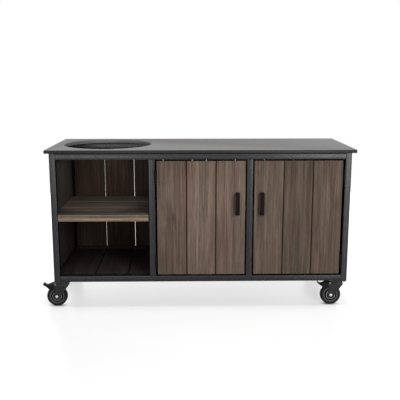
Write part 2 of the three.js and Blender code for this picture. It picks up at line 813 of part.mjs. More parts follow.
function addBoards() {
  add(table, 'floor_boards', floorGeometry(), wallWood(), 0, 0, floorTop - boardThickness);
  const edges = plankEdges();
  const firstOfRight = edges.length - planksPerOuterPanel;
  const panels = [
    ['back_panel_left', edges.slice(0, planksPerOuterPanel)],
    ['back_panel_middle', edges.slice(planksPerOuterPanel, firstOfRight)],
    ['back_panel_right', edges.slice(firstOfRight)],
  ];
  const bottom = floorTop + fitGap;
  const height = clearHeight - 2 * fitGap;
  const backY = frameDepth / 2 - boardThickness;
  for (const [name, own] of panels) {
    add(table, name, backPanelGeometry(own), wallWood(), 0, backY, bottom);
  }
  const ends = [0, height - battenHeight];
  const besideShelf = [...ends, battenTop - battenHeight - bottom];
  const endX = frameWidth / 2;
  const partitionX = -midPostX + tubeSide / 2;
  const shelfWall = wallGeometry(height, besideShelf);
  add(table, 'side_wall_left', shelfWall, wallWood(), -endX, 0, bottom);
  const right = add(table, 'side_wall_right', wallGeometry(height, ends), wallWood(), endX, 0, bottom);
  right.rotation.z = halfTurn;
  const inner = add(table, 'partition', shelfWall.clone(), wallWood(), partitionX, 0, bottom);
  inner.rotation.z = halfTurn;
}

function addShelf() {
  const bottom = shelfTop - shelfFasciaHeight;
  add(table, 'shelf_fascia', shelfFasciaGeometry(), shelfWood(), -bayPitch, frameFront, bottom);
  for (let index = 0; index < shelfBoards; index += 1) {
    const y = frameFront + shelfFasciaThickness + index * shelfBoardPitch;
    const board = shelfBoardGeometry(index === 0);
    add(table, `shelf_board_${index + 1}`, board, shelfWood(), -bayPitch, y, shelfTop - boardThickness);
  }
}

// Each door has its hinge side as -1 for left or +1 for right

function addDoor(name, bayCentre, hingeSide) {
  const doorCentre = bayCentre + hingeSide * (doorLatchGap - doorHingeGap) / 2;
  const hingeX = bayCentre + hingeSide * (bayWidth / 2 - doorHingeGap / 2);
  const latchX = bayCentre - hingeSide * bayWidth / 2;
  add(table, `door_${name}`, doorGeometry(), doorWood(), doorCentre, frameFront, doorBottom);
  const handleX = latchX + hingeSide * (doorLatchGap + handleEdgeDistance + handleWidth / 2);
  const handleZ = worktopTop - handleDrop - handleLength;
  add(table, `handle_${name}`, handleGeometry(), handleFinish(), handleX, frameFront, handleZ);
  for (const [place, drop] of [['upper', hingeUpperDrop], ['lower', hingeLowerDrop]]) {
    const y = frameFront - hingePinForward;
    const z = worktopTop - drop - hingeHeight / 2;
    const frameLeaf = frameLeafGeometry(-hingeSide);
    const doorLeaf = doorLeafGeometry(-hingeSide);
    add(table, `hinge_frame_leaf_${place}_${name}`, frameLeaf, hingeSteel(), hingeX, y, z);
    add(table, `hinge_door_leaf_${place}_${name}`, doorLeaf, hingeSteel(), hingeX, y, z);
  }
  const catchX = hingeSide > 0 ? latchX : latchX - catchWidth;
  const strikeX = catchX + hingeSide * doorLatchGap + (catchWidth - strikeWidth) / 2;
  const strikeY = frameFront + boardThickness;
  const catchY = strikeY + strikeThickness + runningClearance + catchPoleDepth;
  const catchZ = worktopTop - catchDrop - catchHeight / 2;
  const strikeZ = worktopTop - catchDrop - strikeHeight / 2;
  add(table, `catch_${name}`, catchGeometry(), zincSteel(), catchX, catchY, catchZ);
  add(table, `strike_${name}`, strikeGeometry(), zincSteel(), strikeX, strikeY, strikeZ);
}

function addCaster(name, x, y, braked) {
  const caster = new THREE.Group();
  caster.position.set(x, y, 0);
  table.add(caster);
  add(caster, `caster_plate_${name}`, casterPlateGeometry(), casterSteel(), 0, 0, 0);
  add(caster, `caster_fork_${name}`, forkGeometry(braked), casterSteel(), 0, 0, 0);
  add(caster, `caster_wheel_${name}`, wheelGeometry(), wheelRubber(), -casterTrail, 0, wheelRadius);
  if (braked) {
    add(caster, `brake_pedal_${name}`, pedalGeometry(), pedalBlack(), 0, 0, 0);
  }
}

addWorktop();
addFrame();
addBoards();
addShelf();
addDoor('left', 0, -1);
addDoor('right', bayPitch, 1);
addCaster('front_left', -casterX, -casterY, true);
addCaster('front_right', casterX, -casterY, true);
addCaster('rear_left', -casterX, casterY, false);
addCaster('rear_right', casterX, casterY, false);

// The origin is on the floor, under the middle of the whole table's box
const reachLeft = Math.max(worktopWidth / 2, casterX + pedalReach);
const reachFront = Math.max(worktopDepth / 2, frameDepth / 2 + handleReach);
table.position.set((reachLeft - worktopWidth / 2) / 2, (reachFront - worktopDepth / 2) / 2, 0);
table.updateMatrixWorld(true);

export default table;
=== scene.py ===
import math
import random

import bmesh
import bpy
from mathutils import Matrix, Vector
from mathutils.geometry import tessellate_polygon


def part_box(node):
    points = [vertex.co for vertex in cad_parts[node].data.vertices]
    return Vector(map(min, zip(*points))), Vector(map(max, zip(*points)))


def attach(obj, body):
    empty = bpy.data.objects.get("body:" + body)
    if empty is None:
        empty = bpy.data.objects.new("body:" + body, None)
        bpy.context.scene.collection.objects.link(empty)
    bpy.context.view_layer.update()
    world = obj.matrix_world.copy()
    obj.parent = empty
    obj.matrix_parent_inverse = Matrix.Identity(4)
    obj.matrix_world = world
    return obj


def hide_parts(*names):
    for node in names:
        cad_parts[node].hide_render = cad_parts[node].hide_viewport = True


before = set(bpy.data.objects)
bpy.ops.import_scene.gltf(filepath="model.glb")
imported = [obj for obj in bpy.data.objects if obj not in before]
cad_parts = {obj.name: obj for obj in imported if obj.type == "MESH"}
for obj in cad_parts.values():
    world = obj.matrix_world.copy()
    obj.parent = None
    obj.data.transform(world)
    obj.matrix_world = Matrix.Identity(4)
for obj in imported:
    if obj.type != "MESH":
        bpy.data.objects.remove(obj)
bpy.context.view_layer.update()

MM = 0.001
FULL_TURN = 2 * math.pi
draw = random.Random(11)


# Camera: the photograph's place and angle

CAMERA_PLACE = (-0.0360, -3.83825, 1.33685)
CAMERA_LENS = 57.06
CAMERA_SENSOR = 36
CAMERA_PITCH = 11.139
CAMERA_YAW = 0.934
CAMERA_ROLL = 0.019


def add_camera():
    data = bpy.data.cameras.new("camera")
    data.lens = CAMERA_LENS
    data.sensor_width = CAMERA_SENSOR
    camera = bpy.data.objects.new("camera", data)
    camera.location = CAMERA_PLACE
    camera.rotation_euler = (
        math.radians(90 - CAMERA_PITCH),
        math.radians(CAMERA_ROLL),
        math.radians(-CAMERA_YAW),
    )
    bpy.context.scene.collection.objects.link(camera)
    bpy.context.scene.camera = camera


# Shells: points in millimetres, faces, and each point's wear and painted shading.
# Wear is 1 on an edge that is rubbed bare, and -1 at the foot of a groove. Negative values also
# paint shade on faces that lie in shadow, and on the casters' wheels the values paint highlights
# on ridges and shade in grooves.


def towards_left(loop, distance):
    """The loop moved sideways, to the left of its own walk."""
    moved = []
    for index, point in enumerate(loop):
        before, after = Vector(loop[index - 1][:2]), Vector(loop[(index + 1) % len(loop)][:2])
        here = Vector(point[:2])
        first, second = (here - before).normalized(), (after - here).normalized()
        left = Vector((-first.y, first.x)), Vector((-second.y, second.x))
        mitre = (left[0] + left[1]) / (1 + left[0].dot(left[1]))
        moved.append(here + mitre * distance)
    return moved


def area(loop):
    return sum(
        loop[i - 1][0] * loop[i][1] - loop[i][0] * loop[i - 1][1] for i in range(len(loop))
    ) / 2


def plate(loops, thickness, rounding, steps):
    """A flat outline with holes, thickened along +Z, with its edges rounded over.
    The third value of an outline's point is its wear, where that isn't 0."""
    outer, holes = loops[0], loops[1:]
    loops = [outer if area(outer) > 0 else outer[::-1]]
    loops += [hole if area(hole) < 0 else hole[::-1] for hole in holes]
    levels = []
    for step in range(steps + 1):
        turn = math.pi / 2 * step / steps
        worn_and_shaded = 1.0 if 0 < step < steps else 0.0
        levels.append((rounding * (1 - math.sin(turn)), rounding * (1 - math.cos(turn)), worn_and_shaded))
    levels += [(inset, thickness - height, worn_and_shaded) for inset, height, worn_and_shaded in levels[::-1]]
    points, wear, faces = [], [], []
    for inset, height, worn_and_shaded in levels:
        for loop in loops:
            for point, flat in zip(loop, towards_left(loop, inset)):
                points.append((flat.x, flat.y, height))
                own = point[2] if len(point) > 2 else 0.0
                wear.append(own or worn_and_shaded)
    ring = sum(len(loop) for loop in loops)
    for level in range(len(levels) - 1):
        start = 0
        for loop in loops:
            count = len(loop)
            for index in range(count):
                one, two = start + index, start + (index + 1) % count
                low, high = level * ring, (level + 1) * ring
                faces.append((low + one, low + two, high + two, high + one))
            start += count
    flat_loops, start = [], 0
    for loop in loops:
        flat_loops.append([Vector(p) for p in points[start:start + len(loop)]])
        start += len(loop)
    top = (len(levels) - 1) * ring
    for triangle in tessellate_polygon(flat_loops):
        faces.append(tuple(triangle[::-1]))
        faces.append(tuple(top + corner for corner in triangle))
    return points, faces, wear


def turned(profile, segments):
    """A profile of (radius, height) turned about Z. Unless it ends on the axis, it closes on itself."""
    points, wear, rings = [], [], []
    for entry in profile:
        radius, height = entry[:2]
        worn_and_shaded = entry[2] if len(entry) > 2 else 0.0
        count = segments if radius > 0 else 1
        rings.append((len(points), count))
        for index in range(count):
            angle = FULL_TURN * index / segments
            points.append((radius * math.cos(angle), radius * math.sin(angle), height))
            wear.append(worn_and_shaded)
    open_ends = profile[0][0] == 0 and profile[-1][0] == 0
    pairs = list(zip(rings, rings[1:])) + ([] if open_ends else [(rings[-1], rings[0])])
    faces = []
    for (low, low_count), (high, high_count) in pairs:
        for index in range(segments):
            after = (index + 1) % segments
            corners = [low + index % low_count, low + after % low_count]
            corners += [high + after % high_count, high + index % high_count]
            face = list(dict.fromkeys(corners))
            if len(face) > 2:
                faces.append(tuple(face))
    return points, faces, wear


def arc(x, y, radius, start, end, steps):
    """Points of an arc, its angles in degrees."""
    turns = [math.radians(start + (end - start) * step / steps) for step in range(steps + 1)]
    return [(x + radius * math.cos(turn), y + radius * math.sin(turn)) for turn in turns]


def rounded(low_x, high_x, low_y, high_y, radius, steps):
    """A rectangle with rounded corners, worn at the middle of each corner."""
    corners = [
        (high_x - radius, low_y + radius, -90), (high_x - radius, high_y - radius, 0),
        (low_x + radius, high_y - radius, 90), (low_x + radius, low_y + radius, 180),
    ]
    loop = []
    for x, y, start in corners:
        for step, point in enumerate(arc(x, y, radius, start, start + 90, steps)):
            loop.append((*point, 1.0 if 0 < step < steps else 0.0))
    return loop


def circle(x, y, radius, steps):
    return arc(x, y, radius, 0, 360, steps)[:-1]


def hexagon(across):
    """A hexagon about the origin, measured from flat to flat."""
    return arc(0, 0, across / math.sqrt(3), 30, 390, 6)[:-1]


# Directions in which a shell's own X, Y and Z point once it is placed

UPRIGHT = (Vector((1, 0, 0)), Vector((0, 1, 0)), Vector((0, 0, 1)))
ALONG_X = FACING_RIGHT = (Vector((0, 1, 0)), Vector((0, 0, 1)), Vector((1, 0, 0)))
ALONG_Y = FACING_BACK = (Vector((-1, 0, 0)), Vector((0, 0, 1)), Vector((0, 1, 0)))
SIDE_ON = (Vector((1, 0, 0)), Vector((0, 0, 1)), Vector((0, -1, 0)))
FACING_LEFT = (Vector((0, -1, 0)), Vector((0, 0, 1)), Vector((-1, 0, 0)))

SHARP_ANGLE = 32


class Build:
    """Gathers the shells of one piece."""

    def __init__(self):
        self.points, self.faces = [], []
        self.grain, self.tone, self.wear, self.painted_shade = [], [], [], []

    def add(self, shell, place=(0, 0, 0), axes=UPRIGHT, grain=None, tone=0.5, painted_shade=None):
        points, faces, wear = shell
        start = len(self.points)
        away = Vector(place)
        for x, y, z in points:
            self.points.append(away + axes[0] * x + axes[1] * y + axes[2] * z)
            self.grain.append(grain((x, y, z)) if grain else (x * MM, y * MM, z * MM))
            self.painted_shade.append(painted_shade((x, y, z)) if painted_shade else 1.0)
        self.faces += [tuple(start + corner for corner in face) for face in faces]
        self.tone += [tone] * len(points)
        self.wear += wear

    def piece(self, name, body, finish, slot, nodes=()):
        mesh = bpy.data.meshes.new(name)
        mesh.from_pydata([point * MM for point in self.points], [], self.faces)
        work = bmesh.new()
        work.from_mesh(mesh)
        bmesh.ops.recalc_face_normals(work, faces=work.faces)
        work.to_mesh(mesh)
        work.free()
        grain = mesh.attributes.new("grain", "FLOAT_VECTOR", "POINT")
        grain.data.foreach_set("vector", [value for row in self.grain for value in row])
        for kind, values in (("tone", self.tone), ("wear", self.wear), ("painted_shade", self.painted_shade)):
            mesh.attributes.new(kind, "FLOAT", "POINT").data.foreach_set("value", values)
        mesh.polygons.foreach_set("use_smooth", [True] * len(mesh.polygons))
        mesh.set_sharp_from_angle(angle=math.radians(SHARP_ANGLE))
        mesh.materials.append(finish)
        piece = bpy.data.objects.new(name, mesh)
        bpy.context.scene.collection.objects.link(piece)
        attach(piece, body)
        if nodes:
            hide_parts(*nodes)


def corners(node):
    """A node's box in millimetres: low x, high x, low y, high y, low z, high z."""
    low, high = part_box(node)
    return [value / MM for axis in range(3) for value in (low[axis], high[axis])]


# Materials


def srgb(red, green, blue):
    def linear(value):
        value /= 255
        return value / 12.92 if value <= 0.04045 else ((value + 0.055) / 1.055) ** 2.4
    return linear(red), linear(green), linear(blue), 1.0


class Finish:
    """A material made of nodes."""

    def __init__(self, name):
        self.material = bpy.data.materials.new(name)
        self.material.use_nodes = True
        self.tree = self.material.node_tree
        self.shader = self.tree.nodes["Principled BSDF"]

    def node(self, kind, inputs, output=0, **settings):
        node = self.tree.nodes.new("ShaderNode" + kind)
        for key, value in settings.items():
            setattr(node, key, value)
        for key, value in inputs.items():
            self.feed(node.inputs[key], value)
        return node.outputs[output]

    def feed(self, socket, value):
        if isinstance(value, bpy.types.NodeSocket):
            self.tree.links.new(value, socket)
        else:
            socket.default_value = value

    def attribute(self, name, output):
        return self.node("Attribute", {}, output, attribute_name=name)

    def stretched(self, vector, share):
        return self.node("VectorMath", {0: vector, 1: share}, operation="MULTIPLY")

    def moved(self, vector, share):
        return self.node("VectorMath", {0: vector, 1: share}, operation="ADD")

    def noise(self, vector, scale, detail, roughness, distortion=0.0):
        values = {"Vector": vector, "Scale": scale, "Detail": detail}
        values |= {"Roughness": roughness, "Distortion": distortion}
        return self.node("TexNoise", values)

    def spread(self, value, low, high, to_low=0.0, to_high=1.0):
        places = {0: value, 1: low, 2: high, 3: to_low, 4: to_high}
        return self.node("MapRange", places, interpolation_type="SMOOTHSTEP")

    def times(self, one, two):
        return self.node("Math", {0: one, 1: two}, operation="MULTIPLY")

    def plus(self, one, two):
        return self.node("Math", {0: one, 1: two}, operation="ADD")

    def blend(self, share, one, two, kind="MIX"):
        return self.node("Mix", {0: share, 6: one, 7: two}, 2, data_type="RGBA", blend_type=kind)

    def shaded(self, colour, shade):
        grey = self.node("CombineXYZ", {0: shade, 1: shade, 2: shade})
        return self.blend(1.0, colour, grey, "MULTIPLY")

    def part(self, vector, axis):
        return self.node("SeparateXYZ", {0: vector}, axis)

    def bump(self, height, strength, distance):
        values = {"Height": height, "Strength": strength, "Distance": distance * MM}
        return self.node("Bump", values)

    def set(self, **values):
        for key, value in values.items():
            self.feed(self.shader.inputs[key.replace("_", " ")], value)
        return self.material


# The shade of a board whose tone is 0, and of one whose tone is 1
DARK_SHADE, LIGHT_SHADE = 0.62, 1.24

# Knots: how many cells a metre has along the grain, across it and into it, and which lots win
KNOT_CELLS = (4.0, 10.5, 10.5)
KNOT_LOTS = (0.84, 0.85)


def wood(name, light, middle, dark, cast, blush, groove, edge, figure=1.0, painted_shade=None):
    """Weathered planks. The grain attribute runs along the plank, across it and into it.
    Faces marked 1 take painted shade, a share of the bare wood's colour."""
    f = Finish(name)
    grain = f.attribute("grain", 1)
    tone = f.attribute("tone", 2)
    wear = f.attribute("wear", 2)

    def drawn_out(along, across, shift=(0, 0, 0), detail=3.0, roughness=0.6, distortion=0.0):
        place = f.moved(f.stretched(grain, (along, across, across)), shift)
        return f.noise(place, 1.0, detail, roughness, distortion)

    def varied(pattern, low, high, less, more):
        return f.spread(pattern, low, high, 1 - less * figure, 1 + more * figure)

    broad = drawn_out(1.3, 38, detail=4.0, roughness=0.65, distortion=0.2)
    bands = drawn_out(2.2, 84, detail=4.0, roughness=0.65, distortion=0.1)
    fibre = drawn_out(9, 560, roughness=0.7)
    check = drawn_out(5, 210, (7, 3, 5))
    cloud = drawn_out(1.6, 19, (3, 9, 1), roughness=0.5)
    warm = drawn_out(1.1, 15, (8, 2, 6), roughness=0.5)
    streak = drawn_out(3.6, 96, (2, 8, 4))
    fleck = drawn_out(30, 180, (5, 4, 9), detail=2.0, roughness=0.5)
    cell = f.stretched(grain, KNOT_CELLS)
    distance = f.node("TexVoronoi", {"Vector": cell, "Scale": 1.0})
    lot = f.node("TexVoronoi", {"Vector": cell, "Scale": 1.0}, 1)
    chosen = f.spread(f.node("SeparateColor", {0: lot}, 0), *KNOT_LOTS)
    knot = f.times(f.spread(distance, 0.085, 0.03), chosen)
    halo = f.times(f.spread(distance, 0.26, 0.08), chosen)
    colour = f.blend(f.spread(broad, 0.34, 0.66), middle, light)
    colour = f.blend(f.times(f.spread(cloud, 0.46, 0.66), 0.6), colour, cast)
    colour = f.blend(f.times(f.spread(warm, 0.50, 0.68), 0.55), colour, blush)
    colour = f.blend(f.times(f.spread(bands, 0.50, 0.28), 0.55), colour, dark)
    colour = f.blend(f.times(f.spread(check, 0.33, 0.24), 0.6), colour, dark)
    fine = varied(fibre, 0.30, 0.72, 0.18, 0.16)
    fine = f.times(fine, varied(streak, 0.34, 0.66, 0.36, 0.34))
    fine = f.times(fine, varied(fleck, 0.3, 0.7, 0.16, 0.16))
    colour = f.shaded(colour, f.times(fine, f.spread(tone, 0.0, 1.0, DARK_SHADE, LIGHT_SHADE)))
    colour = f.blend(f.times(halo, 0.35), colour, dark)
    colour = f.blend(f.times(knot, 0.8), colour, groove)
    colour = f.blend(f.times(f.spread(wear, 0.0, 1.0), 0.55), colour, edge)
    colour = f.blend(f.spread(wear, 0.0, -0.9), colour, groove)
    # painted shade on the faces inside the bays
    if painted_shade:
        inside = f.attribute("painted_shade", 2)
        colour = f.blend(inside, colour, f.blend(1.0, colour, (*painted_shade, 1.0), "MULTIPLY"))
    relief = f.plus(f.times(bands, 0.6), f.times(fibre, 0.4))
    return f.set(
        Base_Color=colour,
        Roughness=f.spread(bands, 0.25, 0.75, 0.82, 0.66),
        Specular_IOR_Level=0.3,
        Normal=f.bump(relief, 0.7, 0.3),
    )


def painted_steel(name, base, rubbed, roughness, shine, grit=0.05):
    """Powder-coated or blackened steel, with a fine texture and rubbed edges.
    Where a face takes painted shade, it is nearly black and hardly shines."""
    f = Finish(name)
    place = f.node("TexCoord", {}, 3)
    wear = f.attribute("wear", 2)
    fine = f.noise(place, 1400, 2.0, 0.5)
    cloud = f.noise(place, 9.0, 4.0, 0.6)
    scuff = f.noise(f.stretched(place, (60, 60, 14)), 1.0, 5.0, 0.7)
    colour = f.shaded(base, f.spread(cloud, 0.3, 0.7, 0.92, 1.08))
    bare = f.times(f.spread(wear, 0.2, 1.0), f.spread(scuff, 0.35, 0.65, 0.25, 0.85))
    colour = f.blend(bare, colour, rubbed)
    # painted shade: negative values turn the paint near black and take away its shine
    colour = f.blend(f.spread(wear, 0.0, -1.0), colour, srgb(6, 6, 7))
    return f.set(
        Base_Color=colour,
        Specular_IOR_Level=f.spread(wear, 0.0, -1.0, shine, 0.05),
        Roughness=f.spread(scuff, 0.3, 0.7, roughness - 0.02, roughness + 0.04),
        Normal=f.bump(fine, grit, 0.1),
    )


CUTOUT_RADIUS = 260
BAY_PITCH = 556.667
TABLE_MIDDLE = (26.75, 6.25)
CUTOUT_MIDDLE = (TABLE_MIDDLE[0] - BAY_PITCH, TABLE_MIDDLE[1])

# The cut-out's wall takes painted shade from the first to the second: left of its middle, and under its
# rim
WALL_SHADE_LEFTS = (40, 220)
WALL_SHADE_DEPTHS = (8, 2)


def stone_finish():
    """Honed dark stone with fine crystals and soft clouds. The cut-out's sawn wall is paler.
    Upright faces are darker than the top: painted shade.
    """
    f = Finish("honed_stone")
    place = f.node("TexCoord", {}, 3)
    wear = f.attribute("wear", 2)
    crystal = f.noise(place, 620, 3.0, 0.7)
    speck = f.node("TexVoronoi", {"Vector": place, "Scale": 420.0})
    cloud = f.noise(place, 3.1, 5.0, 0.6, 0.8)
    base = f.blend(f.spread(cloud, 0.3, 0.7), srgb(40, 36, 36), srgb(48, 44, 43))
    base = f.blend(f.spread(crystal, 0.35, 0.72, 0.0, 0.35), base, srgb(64, 60, 58))
    base = f.blend(f.spread(speck, 0.22, 0.05, 0.0, 0.5), base, srgb(20, 19, 20))
    base = f.blend(f.times(wear, 0.25), base, srgb(56, 54, 54))
    # painted shade: faces that stand upright are darker than the top
    upright = f.spread(f.part(f.node("TexCoord", {}, 1), 2), 0.8, 0.3)
    base = f.blend(upright, base, f.blend(crystal, srgb(22, 21, 22), srgb(32, 31, 32)))
    flat = f.stretched(place, (1, 1, 0))
    middle = (CUTOUT_MIDDLE[0] * MM, CUTOUT_MIDDLE[1] * MM, 0)
    reach = f.node("VectorMath", {0: flat, 1: middle}, 1, operation="DISTANCE")
    sawn = f.spread(reach, (CUTOUT_RADIUS + 1.2) * MM, (CUTOUT_RADIUS + 0.4) * MM)
    wall = f.blend(f.spread(crystal, 0.3, 0.7), srgb(120, 118, 120), srgb(125, 123, 125))
    lefts = [(CUTOUT_MIDDLE[0] - way) * MM for way in WALL_SHADE_LEFTS]
    heights = [(corners("worktop")[5] - depth) * MM for depth in WALL_SHADE_DEPTHS]
    # painted shade on the cut-out's wall, towards its left end and towards its rim
    left = f.spread(f.part(place, 0), *lefts, 0.0, 0.45)
    rim = f.spread(f.part(place, 2), *heights, 0.0, 0.40)
    wall = f.blend(f.plus(left, rim), wall, srgb(46, 45, 46))
    base = f.blend(sawn, base, wall)
    return f.set(
        Base_Color=base,
        Specular_IOR_Level=0.32,
        Roughness=f.spread(crystal, 0.3, 0.7, 0.42, 0.32),
        Normal=f.bump(crystal, 0.12, 0.06),
    )


def rubber(name, base, dust_and_highlight, rubbed=0.5, shine=0.3):
    f = Finish(name)
    place = f.node("TexCoord", {}, 3)
    wear = f.attribute("wear", 2)
    fine = f.noise(place, 900, 3.0, 0.6)
    dust = f.noise(place, 46, 5.0, 0.65)
    colour = f.blend(f.spread(dust, 0.42, 0.75, 0.0, 0.25), base, dust_and_highlight)
    # On the wheels, positive values paint highlights on the ridges; elsewhere they are rubbed edges
    colour = f.blend(f.times(f.spread(wear, 0.0, 1.0), rubbed), colour, dust_and_highlight)
    # painted shade: negative values turn near black, in the wheels' grooves
    colour = f.blend(f.spread(wear, 0.0, -1.0), colour, srgb(4, 4, 4))
    return f.set(
        Base_Color=colour,
        Specular_IOR_Level=shine,
        Roughness=f.spread(dust, 0.3, 0.7, 0.50, 0.70),
        Normal=f.bump(fine, 0.4, 0.15),
    )


def bright_metal(name, base, roughness, tint):
    """Zinc-plated steel with a fine brushed grain."""
    f = Finish(name)
    place = f.node("TexCoord", {}, 3)
    brushed = f.noise(f.stretched(place, (300, 300, 2400)), 1.0, 3.0, 0.6)
    cloud = f.noise(place, 60, 4.0, 0.6)
    colour = f.blend(f.spread(cloud, 0.35, 0.7), base, tint)
    return f.set(
        Base_Color=colour,
        Metallic=0.45,
        Roughness=f.spread(brushed, 0.3, 0.7, roughness - 0.07, roughness + 0.07),
        Normal=f.bump(brushed, 0.2, 0.05),
    )


# The studio floor's own light, in metres from its middle. It grows to full over FLOOR_SPREAD, has
# painted light beside the table and before it, which thins the table's shadow there, and fades to a
# painted contact shadow where something touches the floor.
FLOOR_LIGHT = 0.6
FLOOR_SPREAD = (1.2, 2.6)
BESIDE, BESIDE_LIFT = (0.87, 0.96), 0.12
BEFORE, BEFORE_LIFT = (0.27, 0.33), 0.03
CONTACT_SHADOW_REACH = 0.035


def floor_finish():
    """Pale studio floor that keeps the table's shadow. Seen directly, its light makes it white."""
    f = Finish("studio_floor")
    place = f.node("TexCoord", {}, 3)
    faint = f.noise(place, 0.6, 2.0, 0.5)
    colour = f.blend(faint, (0.36, 0.36, 0.36, 1), (0.38, 0.38, 0.38, 1))
    camera = f.node("LightPath", {}, 0)
    away = f.node("VectorMath", {0: place}, 1, operation="LENGTH")
    f.set(Base_Color=colour, Roughness=0.3, Specular_IOR_Level=0.5)
    f.feed(f.shader.inputs["Emission Color"], (1, 1, 1, 1))
    # painted light: the floor's light is lifted beside the table and before it, thinning its shadow
    # there
    across = f.node("Math", {0: f.part(place, 0)}, operation="ABSOLUTE")
    beside = f.spread(across, *BESIDE, 0.0, BESIDE_LIFT)
    before = f.spread(f.times(f.part(place, 1), -1.0), *BEFORE, 0.0, BEFORE_LIFT)
    light = f.plus(f.spread(away, *FLOOR_SPREAD, FLOOR_LIGHT, 1.0), f.plus(beside, before))
    # painted contact shadow: the floor's light fades close to whatever touches it
    contact_shadow = f.node("AmbientOcclusion", {"Distance": CONTACT_SHADOW_REACH}, 1, samples=8)
    light = f.times(light, f.spread(contact_shadow, 0.15, 0.95))
    f.feed(f.shader.inputs["Emission Strength"], f.times(camera, light))
    return f.material


STONE = stone_finish()
# The seat strip is black rubber, darkened further as painted shade under the worktop's overhang
SEAT_RUBBER = rubber("seat_rubber", srgb(5, 5, 5), srgb(14, 14, 14), shine=0.1)
FRAME_PAINT = painted_steel("frame_paint", srgb(29, 29, 33), srgb(46, 46, 50), 0.26, 0.5, 0.02)
DOOR_WOOD = wood(
    "door_wood", srgb(122, 104, 92), srgb(100, 84, 73), srgb(62, 49, 41),
    srgb(93, 86, 74), srgb(110, 88, 80), srgb(44, 28, 17), srgb(150, 132, 114), 0.6,
)
SHELF_WOOD = wood(
    "shelf_wood", srgb(144, 124, 105), srgb(120, 103, 87), srgb(70, 54, 43),
    srgb(114, 106, 94), srgb(132, 98, 72), srgb(40, 24, 15), srgb(172, 158, 144),
)
# A darker copy of the shelf's wood, as painted shade for the shelf boards inside the bay
SHADED_BOARD_WOOD = wood(
    "shaded_board_wood", srgb(68, 60, 51), srgb(55, 48, 42), srgb(34, 29, 24),
    srgb(48, 45, 40), srgb(56, 44, 35), srgb(18, 12, 8), srgb(136, 122, 106),
)
# painted shade: these woods darken the boards' faces inside the bays
WALL_WOOD = wood(
    "wall_wood", srgb(114, 96, 84), srgb(92, 77, 67), srgb(54, 41, 34),
    srgb(86, 80, 69), srgb(103, 80, 73), srgb(46, 29, 18), srgb(130, 114, 98),
    painted_shade=(0.37, 0.32, 0.28),
)
SIDE_WOOD = wood(
    "side_wood", srgb(112, 96, 83), srgb(93, 79, 68), srgb(60, 48, 40),
    srgb(88, 82, 72), srgb(102, 82, 74), srgb(40, 27, 18), srgb(126, 110, 95), 0.7,
    painted_shade=(0.23, 0.27, 0.31),
)
HANDLE_PAINT = painted_steel("handle_paint", srgb(24, 13, 14), srgb(40, 27, 26), 0.5, 0.1)
HINGE_STEEL = painted_steel("hinge_steel", srgb(6, 6, 7), srgb(20, 20, 21), 0.6, 0.1)
CASTER_STEEL = painted_steel("caster_steel", srgb(38, 38, 40), srgb(84, 84, 86), 0.36, 0.4)
WHEEL_RUBBER = rubber("wheel_rubber", srgb(24, 24, 26), srgb(84, 84, 85), 0.7, 0.16)
RIM_PLASTIC = rubber("rim_plastic", srgb(34, 34, 36), srgb(158, 158, 160), 0.95, 0.06)
PEDAL_PLASTIC = rubber("pedal_plastic", srgb(7, 7, 8), srgb(34, 34, 35), 0.5, 0.3)
CATCH_CASE = rubber("catch_case", srgb(34, 34, 36), srgb(50, 50, 52))
ZINC = bright_metal("zinc", srgb(240, 241, 243), 0.34, srgb(222, 223, 225))
SCREW_STEEL = bright_metal("screw_steel", srgb(120, 118, 114), 0.42, srgb(88, 84, 80))
RIVET_STEEL = bright_metal("rivet_steel", srgb(158, 157, 155), 0.42, srgb(136, 134, 130))


# Wood: a board is an outline across the grain, drawn out along the grain

ARRIS = 2.0
END_ARRIS = 1.2
JOINT_WIDTH = 4.0
PLAIN_TONES = (0.4, 0.72)
GRAIN_SHIFT = 40
# Painted shade on battens, and on the end face at a floor board's start
BATTEN_SHADE, END_SHADE = -0.6, -0.9

# Half a groove, from the board's face to its foot: inset from the seam, depth, and wear
JOINT = (
    (JOINT_WIDTH + 2.0, 0.0, 0.0), (JOINT_WIDTH + 0.5, 0.0, 0.6), (JOINT_WIDTH, 0.2, 0.0),
    (JOINT_WIDTH - 0.6, 0.9, -1.0), (0.0, 4.6, -1.0),
)


def board_outline(width, depth, low_joint=False, high_joint=False):
    """Across a board, X from 0 to width and Y from 0 to depth, with half a groove at each joint."""
    loop = []
    for x, y, start, joint in (
        (width, 0, -90, high_joint), (width, depth, 0, high_joint),
        (0, depth, 90, low_joint), (0, 0, 180, low_joint),
    ):
        in_x, in_y = (-1 if x else 1), (-1 if y else 1)
        if joint:
            slope = [(x + in_x * inset, y + in_y * down, worn_and_shaded) for inset, down, worn_and_shaded in JOINT]
            loop += slope if start in (-90, 90) else slope[::-1]
        else:
            middle = (x + in_x * ARRIS, y + in_y * ARRIS)
            for step, point in enumerate(arc(*middle, ARRIS, start, start + 90, 3)):
                loop.append((*point, 1.0 if 0 < step < 3 else 0.0))
    return loop


def own_grain(order=(2, 0, 1)):
    """Coordinates along, across and into one board, with a shift that no other board has.
    The order says which of the shell's own axes run so."""
    shift = [draw.uniform(0, GRAIN_SHIFT) for _ in order]

    def grain(point):
        return [point[axis] * MM + away for axis, away in zip(order, shift)]
    return grain


def add_board(build, outline, length, place, axes, tone=None, shaded_end=False, painted_shade=None, dark=False):
    tone = draw.uniform(*PLAIN_TONES) if tone is None else tone
    points, faces, wear = plate([outline], length, END_ARRIS, 2)
    # painted shade: a batten is darkened all over
    if dark:
        tone, wear = 0.0, [BATTEN_SHADE] * len(wear)
    # painted shade on the end face at the board's start
    if shaded_end:
        end = END_ARRIS * 0.9
        wear = [END_SHADE if point[2] < end else worn_and_shaded for point, worn_and_shaded in zip(points, wear)]
    build.add((points, faces, wear), place, axes, own_grain(), tone, painted_shade)


